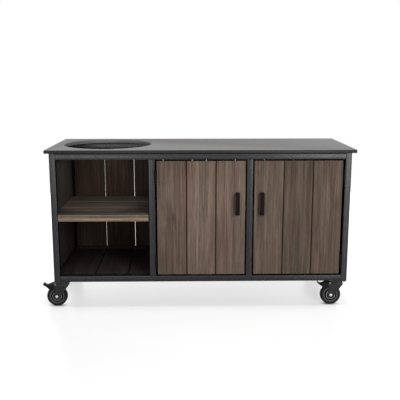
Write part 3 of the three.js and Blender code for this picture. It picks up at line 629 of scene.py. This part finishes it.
SCREW_RADIUS = 4.0
SCREW_RECESS = 3.6
NAIL = [(0, -0.5), (2.6, -0.5), (2.6, 0.1), (1.8, 0.45, 1.0), (0, 0.5)]


def add_screw(build, place, axes):
    """A countersunk head with a hexagonal recess, its face towards the shell's +Z."""
    loops = [circle(0, 0, SCREW_RADIUS, 20), hexagon(SCREW_RECESS)]
    build.add(plate(loops, 1.2, 0.35, 2), Vector(place) - axes[2] * 0.6, axes)
    build.add(plate(loops[1:], 0.4, 0.1, 1), Vector(place) - axes[2] * 0.5, axes)


def add_nail(build, place, axes):
    build.add(turned(NAIL, 14), place, axes)


# Worktop

WORKTOP_ARRIS = 0.7
WORKTOP_CORNER = 2.5


def make_worktop():
    low_x, high_x, low_y, high_y, low_z, high_z = corners("worktop")
    outline = rounded(low_x, high_x, low_y, high_y, WORKTOP_CORNER, 3)
    hole = circle(*CUTOUT_MIDDLE, CUTOUT_RADIUS, 128)
    build = Build()
    build.add(plate([outline, hole], high_z - low_z, WORKTOP_ARRIS, 3), (0, 0, low_z))
    build.piece("worktop_slab", "frame", STONE, "stone", ["worktop"])
    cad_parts["seat_strip"].data.materials.clear()
    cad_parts["seat_strip"].data.materials.append(SEAT_RUBBER)


# Frame of square tube

TUBE = 35
TUBE_WALL = 2
TUBE_ROUNDING = 3.5
BORE_ROUNDING = 1.5
TUBE_ARRIS = 0.4
LEDGE_THICKNESS = 3
LEDGE_ROUNDING = 0.8
BOARD = 20
TUBE_NODES = [
    "post_front_left", "post_front_right", "post_rear_left", "post_rear_right",
    "post_mid_left", "post_mid_right", "end_rail_top_left", "end_rail_top_right",
    "end_rail_bottom_left", "end_rail_bottom_right", "cross_rail_left", "cross_rail_right",
    "rail_front_top", "rail_rear_top", "rail_front_bottom", "rail_rear_bottom",
]

# Posts with painted shade on their inner face: its place across the tube, and whether it is a rear
# post. A rear post has painted shade on its front face too, and around the corner between the two.
# The reaches say how close to such a face a point takes the painted shade.
SHADED_POSTS = {
    "post_front_left": (TUBE, False), "post_front_right": (0, False),
    "post_rear_left": (TUBE, True), "post_rear_right": (0, True),
}
FRONT_REACH, REAR_REACH = 0.2, TUBE_ROUNDING + 0.1


def make_tube(node):
    low_x, high_x, low_y, high_y, low_z, high_z = corners(node)
    bore = TUBE - TUBE_WALL
    loops = [
        rounded(0, TUBE, 0, TUBE, TUBE_ROUNDING, 4),
        rounded(TUBE_WALL, bore, TUBE_WALL, bore, BORE_ROUNDING, 2),
    ]
    build = Build()
    if node.startswith("post"):
        points, faces, wear = plate(loops, high_z - low_z, TUBE_ARRIS, 1)
        if node in SHADED_POSTS:
            inner, rear = SHADED_POSTS[node]
            reach = REAR_REACH if rear else FRONT_REACH
            # painted shade: the post's faces towards the bay turn near black
            wear = [
                -1.0 if abs(x - inner) < reach or (rear and y < reach) else worn_and_shaded
                for (x, y, z), worn_and_shaded in zip(points, wear)
            ]
        build.add((points, faces, wear), (low_x, low_y, low_z), UPRIGHT)
    elif high_y - low_y > high_x - low_x:
        build.add(plate(loops, high_y - low_y, TUBE_ARRIS, 1), (high_x, low_y, low_z), ALONG_Y)
    else:
        rear = node.startswith("rail_rear")
        tube_y = high_y - TUBE if rear else low_y
        build.add(plate(loops, high_x - low_x, TUBE_ARRIS, 1), (low_x, tube_y, low_z), ALONG_X)
        # A rail that is deeper than its tube has a ledge for boards
        if high_y - low_y > TUBE + 1:
            near, far = (low_y, tube_y + 1) if rear else (tube_y + TUBE - 1, high_y)
            top = high_z - BOARD
            bar = rounded(near, far, top - LEDGE_THICKNESS, top, LEDGE_ROUNDING, 2)
            build.add(plate([bar], high_x - low_x, TUBE_ARRIS, 1), (low_x, 0, 0), ALONG_X)
    build.piece(node + "_tube", "frame", FRAME_PAINT, "frame_paint", [node])


# Cupboard doors

DOOR_PLANKS = 3
DOOR_DROP = 1.6
LEDGE_MARGIN = 42
LEDGE_INSET = 90
LEDGE_HEIGHT = 70
LEDGE_SUNK = 0.5
SCREW_MARGIN = 14
SCREW_SHARES = (0.3, 0.7)
DOOR_TONES = {"left": (0.46, 0.70, 0.62), "right": (0.46, 0.14, 0.32)}
DOOR_TRIM = {"left": 0, "right": 2.4}


def make_door(side):
    body = "door_" + side
    low_x, high_x, low_y, high_y, low_z, high_z = corners(body)
    high_z -= DOOR_DROP
    high_x -= DOOR_TRIM[side]
    build = Build()
    width = (high_x - low_x) / DOOR_PLANKS
    for index, tone in enumerate(DOOR_TONES[side]):
        outline = board_outline(width, BOARD, index > 0, index < DOOR_PLANKS - 1)
        place = (low_x + index * width, low_y, low_z)
        add_board(build, outline, high_z - low_z, place, UPRIGHT, tone)
    screws = Build()
    depth = high_y - low_y - BOARD + LEDGE_SUNK
    length = high_x - low_x - 2 * LEDGE_MARGIN
    span = length - 2 * SCREW_MARGIN
    for low in (low_z + LEDGE_INSET, high_z + DOOR_DROP - LEDGE_INSET - LEDGE_HEIGHT):
        outline = board_outline(depth, LEDGE_HEIGHT)
        add_board(build, outline, length, (low_x + LEDGE_MARGIN, high_y - depth, low), ALONG_X)
        for index in range(DOOR_PLANKS):
            for share in SCREW_SHARES:
                x = low_x + LEDGE_MARGIN + SCREW_MARGIN + span * (index + share) / DOOR_PLANKS
                add_screw(screws, (x, high_y, low + LEDGE_HEIGHT / 2), FACING_BACK)
    build.piece(body + "_planks", body, DOOR_WOOD, "door_wood", [body])
    screws.piece(body + "_screws", body, SCREW_STEEL, "zinc")


# Bar handles

HANDLE_REACH = 35
HANDLE_BAR = 9
HANDLE_FOOT = 14
HANDLE_RISE = 6
HANDLE_BENDS = (7, 4)
HANDLE_ARRIS = 1.6


def make_handle(side):
    node = "handle_" + side
    low_x, high_x, low_y, high_y, low_z, high_z = corners(node)
    low_z += HANDLE_RISE
    length = high_z - low_z
    outer, inner = HANDLE_BENDS
    bar = HANDLE_REACH - HANDLE_BAR
    loop = [(0, 0)]
    loop += arc(HANDLE_REACH - outer, outer, outer, -90, 0, 8)
    loop += arc(HANDLE_REACH - outer, length - outer, outer, 0, 90, 8)
    loop += [(0, length), (0, length - HANDLE_FOOT)]
    loop += arc(bar - inner, length - HANDLE_FOOT - inner, inner, 90, 0, 6)
    loop += arc(bar - inner, HANDLE_FOOT + inner, inner, 0, -90, 6)
    loop += [(0, HANDLE_FOOT)]
    loop = [(-y, z) for y, z in loop]
    build = Build()
    build.add(plate([loop], high_x - low_x, HANDLE_ARRIS, 3), (low_x, high_y, low_z), ALONG_X)
    build.piece(node + "_bar", "door_" + side, HANDLE_PAINT, "handle_paint", [node])


# Butt hinges about an upright pin

HINGE_PINS = {"left": (-228.333, -306.25), "right": (838.5, -306.25)}
HINGE_LOWS = {"upper": 735, "lower": 238}
HINGE_HEIGHT = 80
KNUCKLES = 5
KNUCKLE_GAP = 0.4
BARREL = 6.75
BARREL_ARRIS = 0.6
PIN_HOLE = 3.2
LEAF_FACES = (3.75, 5.7)
LEAF_START = 7.1
LEAF_ARRIS = 0.4
FRAME_LEAF_END = 35
DOOR_LEAF_END = 22
WRAP_END = 8
WRAP_ARRIS = 0.3
HINGE_PIN = [
    (0, -0.4), (4.4, -0.4), (5.0, 0.4, 1.0), (3.0, 1.0), (3.0, HINGE_HEIGHT - 1.0),
    (5.0, HINGE_HEIGHT - 0.4, 1.0), (4.4, HINGE_HEIGHT + 0.4), (0, HINGE_HEIGHT + 0.4),
]


def make_hinge(place, side):
    x, y = HINGE_PINS[side]
    low = HINGE_LOWS[place]
    door_way = 1 if side == "left" else -1
    knuckle = (HINGE_HEIGHT - (KNUCKLES - 1) * KNUCKLE_GAP) / KNUCKLES
    for part, way, end, first in (
        ("frame_leaf", -door_way, FRAME_LEAF_END, 0), ("door_leaf", door_way, DOOR_LEAF_END, 1),
    ):
        build = Build()
        faces = sorted(way * face for face in LEAF_FACES)
        leaf = rounded(*faces, LEAF_START, end, LEAF_ARRIS, 2)
        build.add(plate([leaf], HINGE_HEIGHT, LEAF_ARRIS, 2), (x, y, low))
        for index in range(first, KNUCKLES, 2):
            start = low + index * (knuckle + KNUCKLE_GAP)
            profile = [
                (PIN_HOLE, 0.0), (BARREL - BARREL_ARRIS, 0.0), (BARREL, BARREL_ARRIS, 1.0),
                (BARREL, knuckle - BARREL_ARRIS, 1.0), (BARREL - BARREL_ARRIS, knuckle),
                (PIN_HOLE, knuckle),
            ]
            build.add(turned(profile, 32), (x, y, start))
            wrap = rounded(*faces, 0, WRAP_END, WRAP_ARRIS, 1)
            build.add(plate([wrap], knuckle, WRAP_ARRIS, 1), (x, y, start))
        if part == "frame_leaf":
            build.add(turned(HINGE_PIN, 24), (x, y, low))
        body = "frame" if part == "frame_leaf" else "door_" + side
        name = f"hinge_{part}_{place}_{side}"
        build.piece(name + "_steel", body, HINGE_STEEL, "hinge_steel", [name])


# Magnetic catches, each with two pole tongues, and their strike plates

POLE_REACH = 2.5
POLE_SHARES = (0.3, 0.7)
POLE_HALVES = (1, 11.5)
CASE_CORNER, CASE_ARRIS = 2.0, 0.8
STRIKE_CORNER, STRIKE_ARRIS, STRIKE_HOLE = 2.5, 0.4, 2.0


def make_catch(side):
    low_x, high_x, low_y, high_y, low_z, high_z = corners("catch_" + side)
    build = Build()
    middle = (low_z + high_z) / 2
    case = rounded(low_x, high_x, low_z, high_z, CASE_CORNER, 3)
    depth = high_y - low_y - POLE_REACH
    build.add(plate([case], depth, CASE_ARRIS, 2), (0, high_y, 0), SIDE_ON)
    poles = Build()
    across, up = POLE_HALVES
    for share in POLE_SHARES:
        x = low_x + (high_x - low_x) * share
        tongue = rounded(x - across, x + across, middle - up, middle + up, 0.5, 2)
        poles.add(plate([tongue], POLE_REACH + 1, 0.3, 1), (0, low_y + POLE_REACH + 1, 0), SIDE_ON)
    poles.piece("catch_" + side + "_poles", "frame", SCREW_STEEL, "zinc")
    build.piece("catch_" + side + "_case", "frame", CATCH_CASE, "zinc", ["catch_" + side])
    low_x, high_x, low_y, high_y, low_z, high_z = corners("strike_" + side)
    strike = Build()
    outline = rounded(low_x, high_x, low_z, high_z, STRIKE_CORNER, 4)
    hole = circle((low_x + high_x) / 2, (low_z + high_z) / 2, STRIKE_HOLE, 20)
    shell = plate([outline, hole], high_y - low_y, STRIKE_ARRIS, 2)
    strike.add(shell, (0, high_y, 0), SIDE_ON)
    strike.piece("strike_" + side + "_plate", "door_" + side, ZINC, "zinc", ["strike_" + side])


# Boards of the floor, the walls and the shelf

PLANK = 188.5
PLANK_GAP = 3
CENTRE_PLANK = 89.4
PLANKS_A_SIDE = 4
BACK_END_REACH = 6.3
FLOOR_GAP = 12
FLOOR_SEAM = 0.3
FLOOR_TONES = (0.75, 1.0)
# Painted light: in the left bay the back planks grow lighter towards the right
BACK_LIGHT_TONES = {("left", 0): 0.22, ("left", 1): 0.5, ("left", 2): 1.0}
BACK_NAIL_INSET = 24
BATTEN_DEPTH = 15.5
BATTEN_HEIGHT = 21
BATTEN_SUNK = 0.5
WALL_PLANKS = 3
WALL_TONES = (0.30, 0.5)
WALL_NAIL_INSET = 26

# Where a wall's battens start: on the bottom rail, under the top rail, and under the shelf
FLOOR_BATTENS = (191.4, 870.6 - BATTEN_HEIGHT)
SHELF_BATTENS = (*FLOOR_BATTENS, 538 - BATTEN_HEIGHT)


def make_floor():
    low_x, high_x, low_y, high_y, low_z, high_z = corners("floor_boards")
    low_y += FLOOR_GAP
    first = (CENTRE_PLANK + PLANK_GAP) / 2
    seams = [first + index * (PLANK + PLANK_GAP) for index in range(PLANKS_A_SIDE)]
    seams = [TABLE_MIDDLE[0] + way * seam for way in (-1, 1) for seam in seams]
    edges = [low_x, *sorted(seams), high_x]
    build = Build()
    for index, (left, right) in enumerate(zip(edges, edges[1:])):
        if right - left < 2 * JOINT_WIDTH:
            continue
        width = right - left - FLOOR_SEAM
        outline = board_outline(width, high_z - low_z, right < high_x, index > 0)
        place = (right - FLOOR_SEAM / 2, low_y, low_z)
        add_board(build, outline, high_y - low_y, place, ALONG_Y, draw.uniform(*FLOOR_TONES), True)
    build.piece("floor_boards_planks", "frame", SIDE_WOOD, "wall_wood", ["floor_boards"])


def shaded_front_face(point):
    """Of a plank of the back wall, only the face towards the bays takes painted shade."""
    return 1.0 if point[1] < BOARD / 2 else 0.0


def make_back():
    first = CENTRE_PLANK / 2 + PLANK_GAP
    lows = [first + index * (PLANK + PLANK_GAP) for index in range(PLANKS_A_SIDE)]
    right = [(low, low + PLANK) for low in lows]
    edges = [(-high, -low) for low, high in right[::-1]]
    edges += [(-CENTRE_PLANK / 2, CENTRE_PLANK / 2), *right]
    outer = PLANKS_A_SIDE - 1
    groups = {"left": edges[:outer], "middle": edges[outer:-outer], "right": edges[-outer:]}
    for side, group in groups.items():
        node = "back_panel_" + side
        low_x, high_x, low_y, high_y, low_z, high_z = corners(node)
        build, nails = Build(), Build()
        for index, (left, end) in enumerate(group):
            left = left - BACK_END_REACH if left == edges[0][0] else left
            end = end + BACK_END_REACH if end == edges[-1][1] else end
            place = (left + TABLE_MIDDLE[0], high_y - BOARD, low_z)
            outline = board_outline(end - left, BOARD)
            tone = BACK_LIGHT_TONES.get((side, index), draw.uniform(*PLAIN_TONES))
            add_board(build, outline, high_z - low_z, place, UPRIGHT, tone, painted_shade=shaded_front_face)
            for z in (low_z + BATTEN_HEIGHT / 2, high_z - BATTEN_HEIGHT / 2):
                for x in (left + BACK_NAIL_INSET, end - BACK_NAIL_INSET):
                    add_nail(nails, (x + TABLE_MIDDLE[0], high_y, z), FACING_BACK)
        for low in (low_z, high_z - BATTEN_HEIGHT):
            outline = board_outline(BATTEN_DEPTH, BATTEN_HEIGHT)
            add_board(build, outline, high_x - low_x, (low_x, low_y, low), ALONG_X, dark=True)
        build.piece(node + "_planks", "frame", WALL_WOOD, "wall_wood", [node])
        nails.piece(node + "_nails", "frame", SCREW_STEEL, "zinc")


def make_wall(node, outer_is_low, batten_lows):
    """A wall of upright planks at its low X or its high X, with battens across their inner side."""
    low_x, high_x, low_y, high_y, low_z, high_z = corners(node)
    build, nails = Build(), Build()
    if outer_is_low:
        outer, plank_x, batten_x, axes = low_x, low_x, low_x + BOARD - BATTEN_SUNK, FACING_LEFT
    else:
        outer, plank_x, batten_x, axes = high_x, high_x - BOARD, low_x, FACING_RIGHT
    pitch = (high_y - low_y + PLANK_GAP) / WALL_PLANKS
    width = pitch - PLANK_GAP

    def painted_shade(point):
        """Only the inner face takes painted shade, but both faces of the partition do."""
        return 1.0 if node == "partition" or (point[0] > BOARD / 2) == outer_is_low else 0.0

    for index in range(WALL_PLANKS):
        low = low_y + index * pitch
        shell = plate([board_outline(BOARD, width)], high_z - low_z, END_ARRIS, 2)
        grain, tone = own_grain((2, 1, 0)), draw.uniform(*WALL_TONES)
        build.add(shell, (plank_x, low, low_z), UPRIGHT, grain, tone, painted_shade)
        for batten in batten_lows:
            for y in (low + WALL_NAIL_INSET, low + width - WALL_NAIL_INSET):
                add_nail(nails, (outer, y, batten + BATTEN_HEIGHT / 2), axes)
    for batten in batten_lows:
        outline = board_outline(BATTEN_DEPTH, BATTEN_HEIGHT)
        place = (batten_x + BATTEN_DEPTH, low_y, batten)
        add_board(build, outline, high_y - low_y, place, ALONG_Y, dark=True)
    build.piece(node + "_planks", "frame", SIDE_WOOD, "wall_wood", [node])
    nails.piece(node + "_nails", "frame", SCREW_STEEL, "zinc")


NOTCH_X = 15.4
NOTCH_Y = 17
# Painted shade: the shelf boards further back into the bay are darker
SHELF_SHADE_TONES = {1: 0.66, 2: 0.34, 3: 0.12}
FASCIA_TRIM = (1.5, 5.0)
FASCIA_DROP = 5.0
FASCIA_SEAM = 0.4
FASCIA_TONES = (0.8, 0.5)
NOTCHED_ARRIS = 1.5


def make_shelf():
    """Three boards, the first notched around the front posts, and the shelf's front edge."""
    for index, tone in SHELF_SHADE_TONES.items():
        node = f"shelf_board_{index}"
        low_x, high_x, low_y, high_y, low_z, high_z = corners(node)
        build = Build()
        place = (low_x, low_y, low_z)
        length, width = high_x - low_x, high_y - low_y
        if index == 1:
            loop = [
                (NOTCH_X, 0), (length - NOTCH_X, 0), (length - NOTCH_X, NOTCH_Y), (length, NOTCH_Y),
                (length, width), (0, width), (0, NOTCH_Y), (NOTCH_X, NOTCH_Y),
            ]
            shell = plate([loop], high_z - low_z, NOTCHED_ARRIS, 3)
            build.add(shell, place, UPRIGHT, own_grain((0, 1, 2)), tone)
        else:
            outline = board_outline(width, high_z - low_z)
            add_board(build, outline, length, place, ALONG_X, tone)
        build.piece(node + "_plank", "frame", SHADED_BOARD_WOOD, "shelf_wood", [node])
    low_x, high_x, low_y, high_y, low_z, high_z = corners("shelf_fascia")
    build = Build()
    low_x, high_x, high_z = low_x + FASCIA_TRIM[0], high_x - FASCIA_TRIM[1], high_z - FASCIA_DROP
    strip = (high_z - low_z - FASCIA_SEAM) / 2
    for low, tone in zip((low_z, high_z - strip), FASCIA_TONES):
        outline = board_outline(high_y - low_y, strip)
        add_board(build, outline, high_x - low_x, (low_x, low_y, low), ALONG_X, tone)
    build.piece("shelf_fascia_plank", "frame", SHELF_WOOD, "shelf_wood", ["shelf_fascia"])


# Casters, drawn about their swivel axis with the wheel trailing along -X

SWIVELS = {
    "front_left": (-780.75, -256.25), "front_right": (834.25, -256.25),
    "rear_left": (-780.75, 268.75), "rear_right": (834.25, 268.75),
}
TRAIL = 39
WHEEL = 60
AXLE = (-TRAIL, WHEEL)
PLATE_LOW, PLATE_THICKNESS = 152, 4
PLATE_HALF, PLATE_CORNER = 45, 8
BOLT_REACH, BOLT_DROP = 33, 5
BOLT_ACROSS, BOLT_HEIGHT = 13, 4.0
NUT_ACROSS, NUT_HEIGHT = 14.5, 4.2
KINGPIN_HOLE = 6.6
BOSS_SUNK = 0.6
CROWN_LOW, CROWN_BACK, CROWN_FRONT = 126, -34, 30
CHEEK_INNER, CHEEK_OUTER = 19, 22
CHEEK = CHEEK_OUTER - CHEEK_INNER
CHEEK_BACK = (-48, 102)
BOSS = 17
PEDAL_PIVOT = (-46, 134)
PEDAL_HUB = 6.5
PEDAL_SHOE = 69
SHIELD = 58
RIB_REACHES, RIB_RISE, RIB_SLOPE = (101.5, 105.0, 108.5), 126.3, 0.76


def tangent(x, z, turn):
    """Angle in degrees at which a straight edge from (x, z) leaves the axle boss."""
    across, up = x + TRAIL, z - WHEEL
    return math.degrees(math.atan2(up, across) + turn * math.acos(BOSS / math.hypot(across, up)))


def cheek_outline(braked):
    """Side view of a cheek: down its front, around the axle boss, and up its back."""
    start, end = tangent(CROWN_FRONT, CROWN_LOW, -1), tangent(*CHEEK_BACK, 1) - 360
    loop = [(CROWN_FRONT, 134), (CROWN_FRONT, CROWN_LOW)]
    loop += arc(*AXLE, BOSS, start, end, 40)
    loop += [CHEEK_BACK, (-51, 112), (-54, 119)]
    loop += arc(*PEDAL_PIVOT, 8, 180, 0, 14) if braked else [PEDAL_PIVOT]
    return loop


def make_caster_plate(name, x, y):
    build, bolts = Build(), Build()
    loop = rounded(-PLATE_HALF, PLATE_HALF, -PLATE_HALF, PLATE_HALF, PLATE_CORNER, 6)
    build.add(plate([loop], PLATE_THICKNESS, 0.8, 3), (x, y, PLATE_LOW))
    race = [
        (0, 139.3), (29.0, 139.3), (31.2, 140.2, 0.6), (33.0, 143.0, 1.0), (33.4, 146.2),
        (33.0, 149.4), (31.6, 152.2), (0, 152.2),
    ]
    build.add(turned(race, 64), (x, y, 0))
    pin = [(0, 121.7), (9.6, 121.7), (11, 122.8, 1.0), (11, 125.2), (6, 125.7), (6, 140), (0, 140)]
    build.add(turned(pin, 32), (x, y, 0))
    washer = [(0, -1.2), (8.0, -1.2), (8.4, -0.8, 1.0), (8.4, 0.2), (0, 0.2)]
    for across in (-BOLT_REACH, BOLT_REACH):
        for deep in (-BOLT_REACH, BOLT_REACH):
            bolts.add(turned(washer, 32), (x + across, y + deep, PLATE_LOW))
            head = plate([hexagon(BOLT_ACROSS)], BOLT_HEIGHT, 0.7, 2)
            bolts.add(head, (x + across, y + deep, PLATE_LOW - BOLT_DROP))
    node = f"caster_plate_{name}"
    build.piece(node + "_steel", "frame", CASTER_STEEL, "caster_steel", [node])
    bolts.piece(f"caster_bolts_{name}", "frame", SCREW_STEEL, "zinc")


def make_fork(name, x, y, braked):
    build, bright = Build(), Build()
    crown = rounded(CROWN_BACK, CROWN_FRONT, -CHEEK_OUTER, CHEEK_OUTER, 2.5, 4)
    hole = circle(0, 0, KINGPIN_HOLE, 32)
    build.add(plate([crown, hole], CHEEK, 0.5, 2), (x, y, CROWN_LOW))
    race = [
        (KINGPIN_HOLE, 128.2), (32.6, 128.2), (33.8, 130.2, 1.0), (34.0, 132.6),
        (33.0, 135.6, 1.0), (31.2, 138.0), (29.0, 139.0), (KINGPIN_HOLE, 139.0),
    ]
    build.add(turned(race, 64), (x, y, 0))
    for low_y in (CHEEK_OUTER, -CHEEK_INNER):
        build.add(plate([cheek_outline(braked)], CHEEK, 0.7, 3), (x, y + low_y, 0), SIDE_ON)
    boss = [(6.2, 0.0), (12.5, 0.0), (13.4, 0.5, 1.0), (13.4, 1.2), (6.2, 1.2)]
    outer = CHEEK_OUTER - BOSS_SUNK
    for axes, face in ((SIDE_ON, -outer), (FACING_BACK, outer)):
        build.add(turned(boss, 48), (x - TRAIL, y + face, WHEEL), axes)
    rod = turned([(0, -26), (6, -26), (6, 26), (0, 26)], 32)
    bright.add(rod, (x - TRAIL, y, WHEEL), SIDE_ON)
    head = [
        (0, 0.3), (8.5, 0.3), (8.5, 2.2), (8.0, 3.6, 1.0), (6.6, 4.6), (4.0, 5.0), (0, 5.0),
    ]
    bright.add(turned(head, 40), (x - TRAIL, y - CHEEK_OUTER - 0.3, WHEEL), SIDE_ON)
    nut = plate([hexagon(NUT_ACROSS)], NUT_HEIGHT, 0.8, 2)
    bright.add(nut, (x - TRAIL, y + CHEEK_OUTER + 0.4, WHEEL), FACING_BACK)
    if braked:
        rivets = Build()
        rivet = [(0, -3), (3.0, -3), (3.0, 0), (5.2, 0), (5.0, 0.9, 1.0), (3.2, 1.7), (0, 1.9)]
        for axes, face in ((SIDE_ON, -CHEEK_OUTER), (FACING_BACK, CHEEK_OUTER)):
            rivets.add(turned(rivet, 28), (x + PEDAL_PIVOT[0], y + face, PEDAL_PIVOT[1]), axes)
        rivets.piece(f"caster_rivets_{name}", f"fork_{name}", RIVET_STEEL, "zinc")
    node = f"caster_fork_{name}"
    build.piece(node + "_steel", f"fork_{name}", CASTER_STEEL, "caster_steel", [node])
    bright.piece(f"caster_axle_{name}", f"fork_{name}", ZINC, "zinc")


def mirrored(half):
    """A profile from its upper side, closed by its mirror image."""
    return half + [(radius, -height, *worn_and_shaded) for radius, height, *worn_and_shaded in half[::-1]]


def make_wheel(name, x, y):
    tyre, rim = Build(), Build()
    # The third value of a profile point paints light: a highlight on a ridge where positive, shade in a
    # groove where negative
    tread = [
        (42.5, 12.6), (43.2, 13.8, 0.6), (44.6, 14.6, 1.0), (46.0, 14.8, 0.3), (50.0, 15.8),
        (54.0, 15.6), (57.2, 13.8), (59.2, 10.6, 0.3), (59.9, 6.8), (60.0, 3.4), (59.2, 2.9, -0.6),
        (59.2, 2.1, -0.6), (60.0, 1.6),
    ]
    tyre.add(turned(mirrored(tread), 96), (x - TRAIL, y, WHEEL), SIDE_ON)
    face = [
        (6.4, 17.6), (12.0, 17.6), (13.0, 16.4, -0.6), (21.0, 16.4, -0.5), (22.6, 17.8, 0.3),
        (25.4, 17.8, 0.8), (27.4, 16.4, 0.6), (28.4, 13.0, -1.0), (29.6, 7.0, -1.0),
        (34.4, 6.6, -1.0), (35.6, 7.6, -1.0), (36.6, 12.8), (37.6, 14.0, 0.6), (39.6, 14.0, 0.6),
        (40.4, 13.0, 0.2), (40.8, 10.8), (44.0, 10.4),
    ]
    rim.add(turned(mirrored(face), 96), (x - TRAIL, y, WHEEL), SIDE_ON)
    node = f"caster_wheel_{name}"
    tyre.piece(f"caster_tyre_{name}", f"wheel_{name}", WHEEL_RUBBER, "wheel_rubber", [node])
    rim.piece(f"caster_rim_{name}", f"wheel_{name}", RIM_PLASTIC, "wheel_rubber")


def make_pedal(name, x, y):
    """A hood of two side walls and a middle, with three ribs across its toe."""
    pivot_x, pivot_z = PEDAL_PIVOT
    under = pivot_z - PEDAL_HUB
    hub = math.degrees(math.atan2(under - WHEEL, pivot_x + TRAIL))
    top = arc(pivot_x, pivot_z, PEDAL_HUB, 0, 90, 8)
    top += [(-55, 139.6), (-65, 138.0), (-75, 134.8), (-86, 129.6), (-95, 126.2), (-103, 126.8)]
    top += arc(-115.0, 133.4, 3.4, 100, 236, 14)
    under_hub = arc(pivot_x, pivot_z, PEDAL_HUB, -90, 0, 8)[:-1]
    toe = [(-96.0, 115.0), (-92.5, 112.4)]
    shield = arc(*AXLE, SHIELD, 138, 104, 14)
    side = top + toe + [(-84.5, 104.0)] + shield + [(pivot_x, under)] + under_hub[1:]
    middle = top + toe + [(-89.5, 114.6), (-93.0, 118.0), (-93, 122.4), (-88, 123.8)]
    middle += [(-76, 126.8), (-65, 130.4), (-56.0, 134.6)]
    middle += arc(*AXLE, PEDAL_SHOE, 103.8, hub, 3) + under_hub
    build = Build()
    for low_y, loop, width in ((18.6, side, 2.2), (-16.4, side, 2.2), (16.5, middle, 33)):
        build.add(plate([loop], width, 0.5, 2), (x, y + low_y, 0), SIDE_ON)
    for reach in RIB_REACHES:
        rise = RIB_RISE + (reach - RIB_REACHES[0]) * RIB_SLOPE
        rib = rounded(-reach - 0.8, -reach + 0.8, rise - 1.5, rise + 0.9, 0.5, 2)
        build.add(plate([rib], 24, 0.4, 1), (x, y + 12, 0), SIDE_ON)
    node = f"brake_pedal_{name}"
    build.piece(node + "_hood", f"pedal_{name}", PEDAL_PLASTIC, "pedal_plastic", [node])


# Studio

FLOOR_SIZE = 6.8
KEY_POWER = 87
TOP_POWER = 62
BACK_POWER = 46
SIDE_POWER = 24
LEFT_CARD_POWER = 7
RIGHT_CARD_POWER = 18
WORLD_LIGHT = 0.22


def add_lamp(name, place, size, power, glossy=True, aim=(0, 0, 0.5)):
    data = bpy.data.lights.new(name, "AREA")
    data.shape = "RECTANGLE"
    data.size, data.size_y = size
    data.energy = power
    lamp = bpy.data.objects.new(name, data)
    lamp.location = place
    lamp.rotation_euler = (Vector(aim) - Vector(place)).to_track_quat("-Z", "Y").to_euler()
    lamp.visible_glossy = glossy
    bpy.context.scene.collection.objects.link(lamp)


def make_studio():
    mesh = bpy.data.meshes.new("studio_floor")
    half = FLOOR_SIZE / 2
    square = [(-half, -half, 0), (half, -half, 0), (half, half, 0), (-half, half, 0)]
    mesh.from_pydata(square, [], [(0, 1, 2, 3)])
    mesh.materials.append(floor_finish())
    floor = bpy.data.objects.new("studio_floor", mesh)
    bpy.context.scene.collection.objects.link(floor)
    add_lamp("key", (1.9, -3.8, 1.95), (1.3, 1.3), KEY_POWER, False)
    add_lamp("top", (0.0, -0.45, 3.4), (0.9, 0.7), TOP_POWER, False)
    add_lamp("back", (-0.9, 3.6, 1.7), (2.2, 1.6), BACK_POWER, False)
    for side, way in (("left", -1), ("right", 1)):
        add_lamp("side_" + side, (way * 3.2, 0.5, 0.95), (1.4, 1.0), SIDE_POWER, False)
    add_lamp("card_left", (-1.15, -3.84, 0.5), (1.3, 0.55), LEFT_CARD_POWER, aim=(-0.6, -0.3, 0.9))
    add_lamp("card_right", (1.75, -3.84, 0.6), (1.2, 0.75), RIGHT_CARD_POWER, aim=(0.85, -0.3, 0.8))
    world = bpy.data.worlds.new("studio")
    world.use_nodes = True
    nodes, links = world.node_tree.nodes, world.node_tree.links
    path = nodes.new("ShaderNodeLightPath")
    seen = path.outputs["Is Camera Ray"]
    for kind in ("Is Glossy Ray", "Is Transmission Ray"):
        either = nodes.new("ShaderNodeMath")
        either.operation = "MAXIMUM"
        links.new(seen, either.inputs[0])
        links.new(path.outputs[kind], either.inputs[1])
        seen = either.outputs[0]
    strength = nodes.new("ShaderNodeMapRange")
    links.new(seen, strength.inputs[0])
    strength.inputs[3].default_value = WORLD_LIGHT
    strength.inputs[4].default_value = 1.0
    links.new(strength.outputs[0], nodes["Background"].inputs["Strength"])
    nodes["Background"].inputs["Color"].default_value = (1, 1, 1, 1)
    bpy.context.scene.world = world
    bpy.context.scene.view_settings.view_transform = "Standard"


add_camera()
make_studio()
make_worktop()
for tube_node in TUBE_NODES:
    make_tube(tube_node)
make_floor()
make_back()
make_wall("side_wall_left", True, SHELF_BATTENS)
make_wall("side_wall_right", False, FLOOR_BATTENS)
make_wall("partition", False, SHELF_BATTENS)
make_shelf()
for door_side in ("left", "right"):
    make_door(door_side)
    make_handle(door_side)
    make_catch(door_side)
    for hinge_place in ("upper", "lower"):
        make_hinge(hinge_place, door_side)
for caster, (swivel_x, swivel_y) in SWIVELS.items():
    has_brake = caster.startswith("front")
    make_caster_plate(caster, swivel_x, swivel_y)
    make_fork(caster, swivel_x, swivel_y, has_brake)
    make_wheel(caster, swivel_x, swivel_y)
    if has_brake:
        make_pedal(caster, swivel_x, swivel_y)
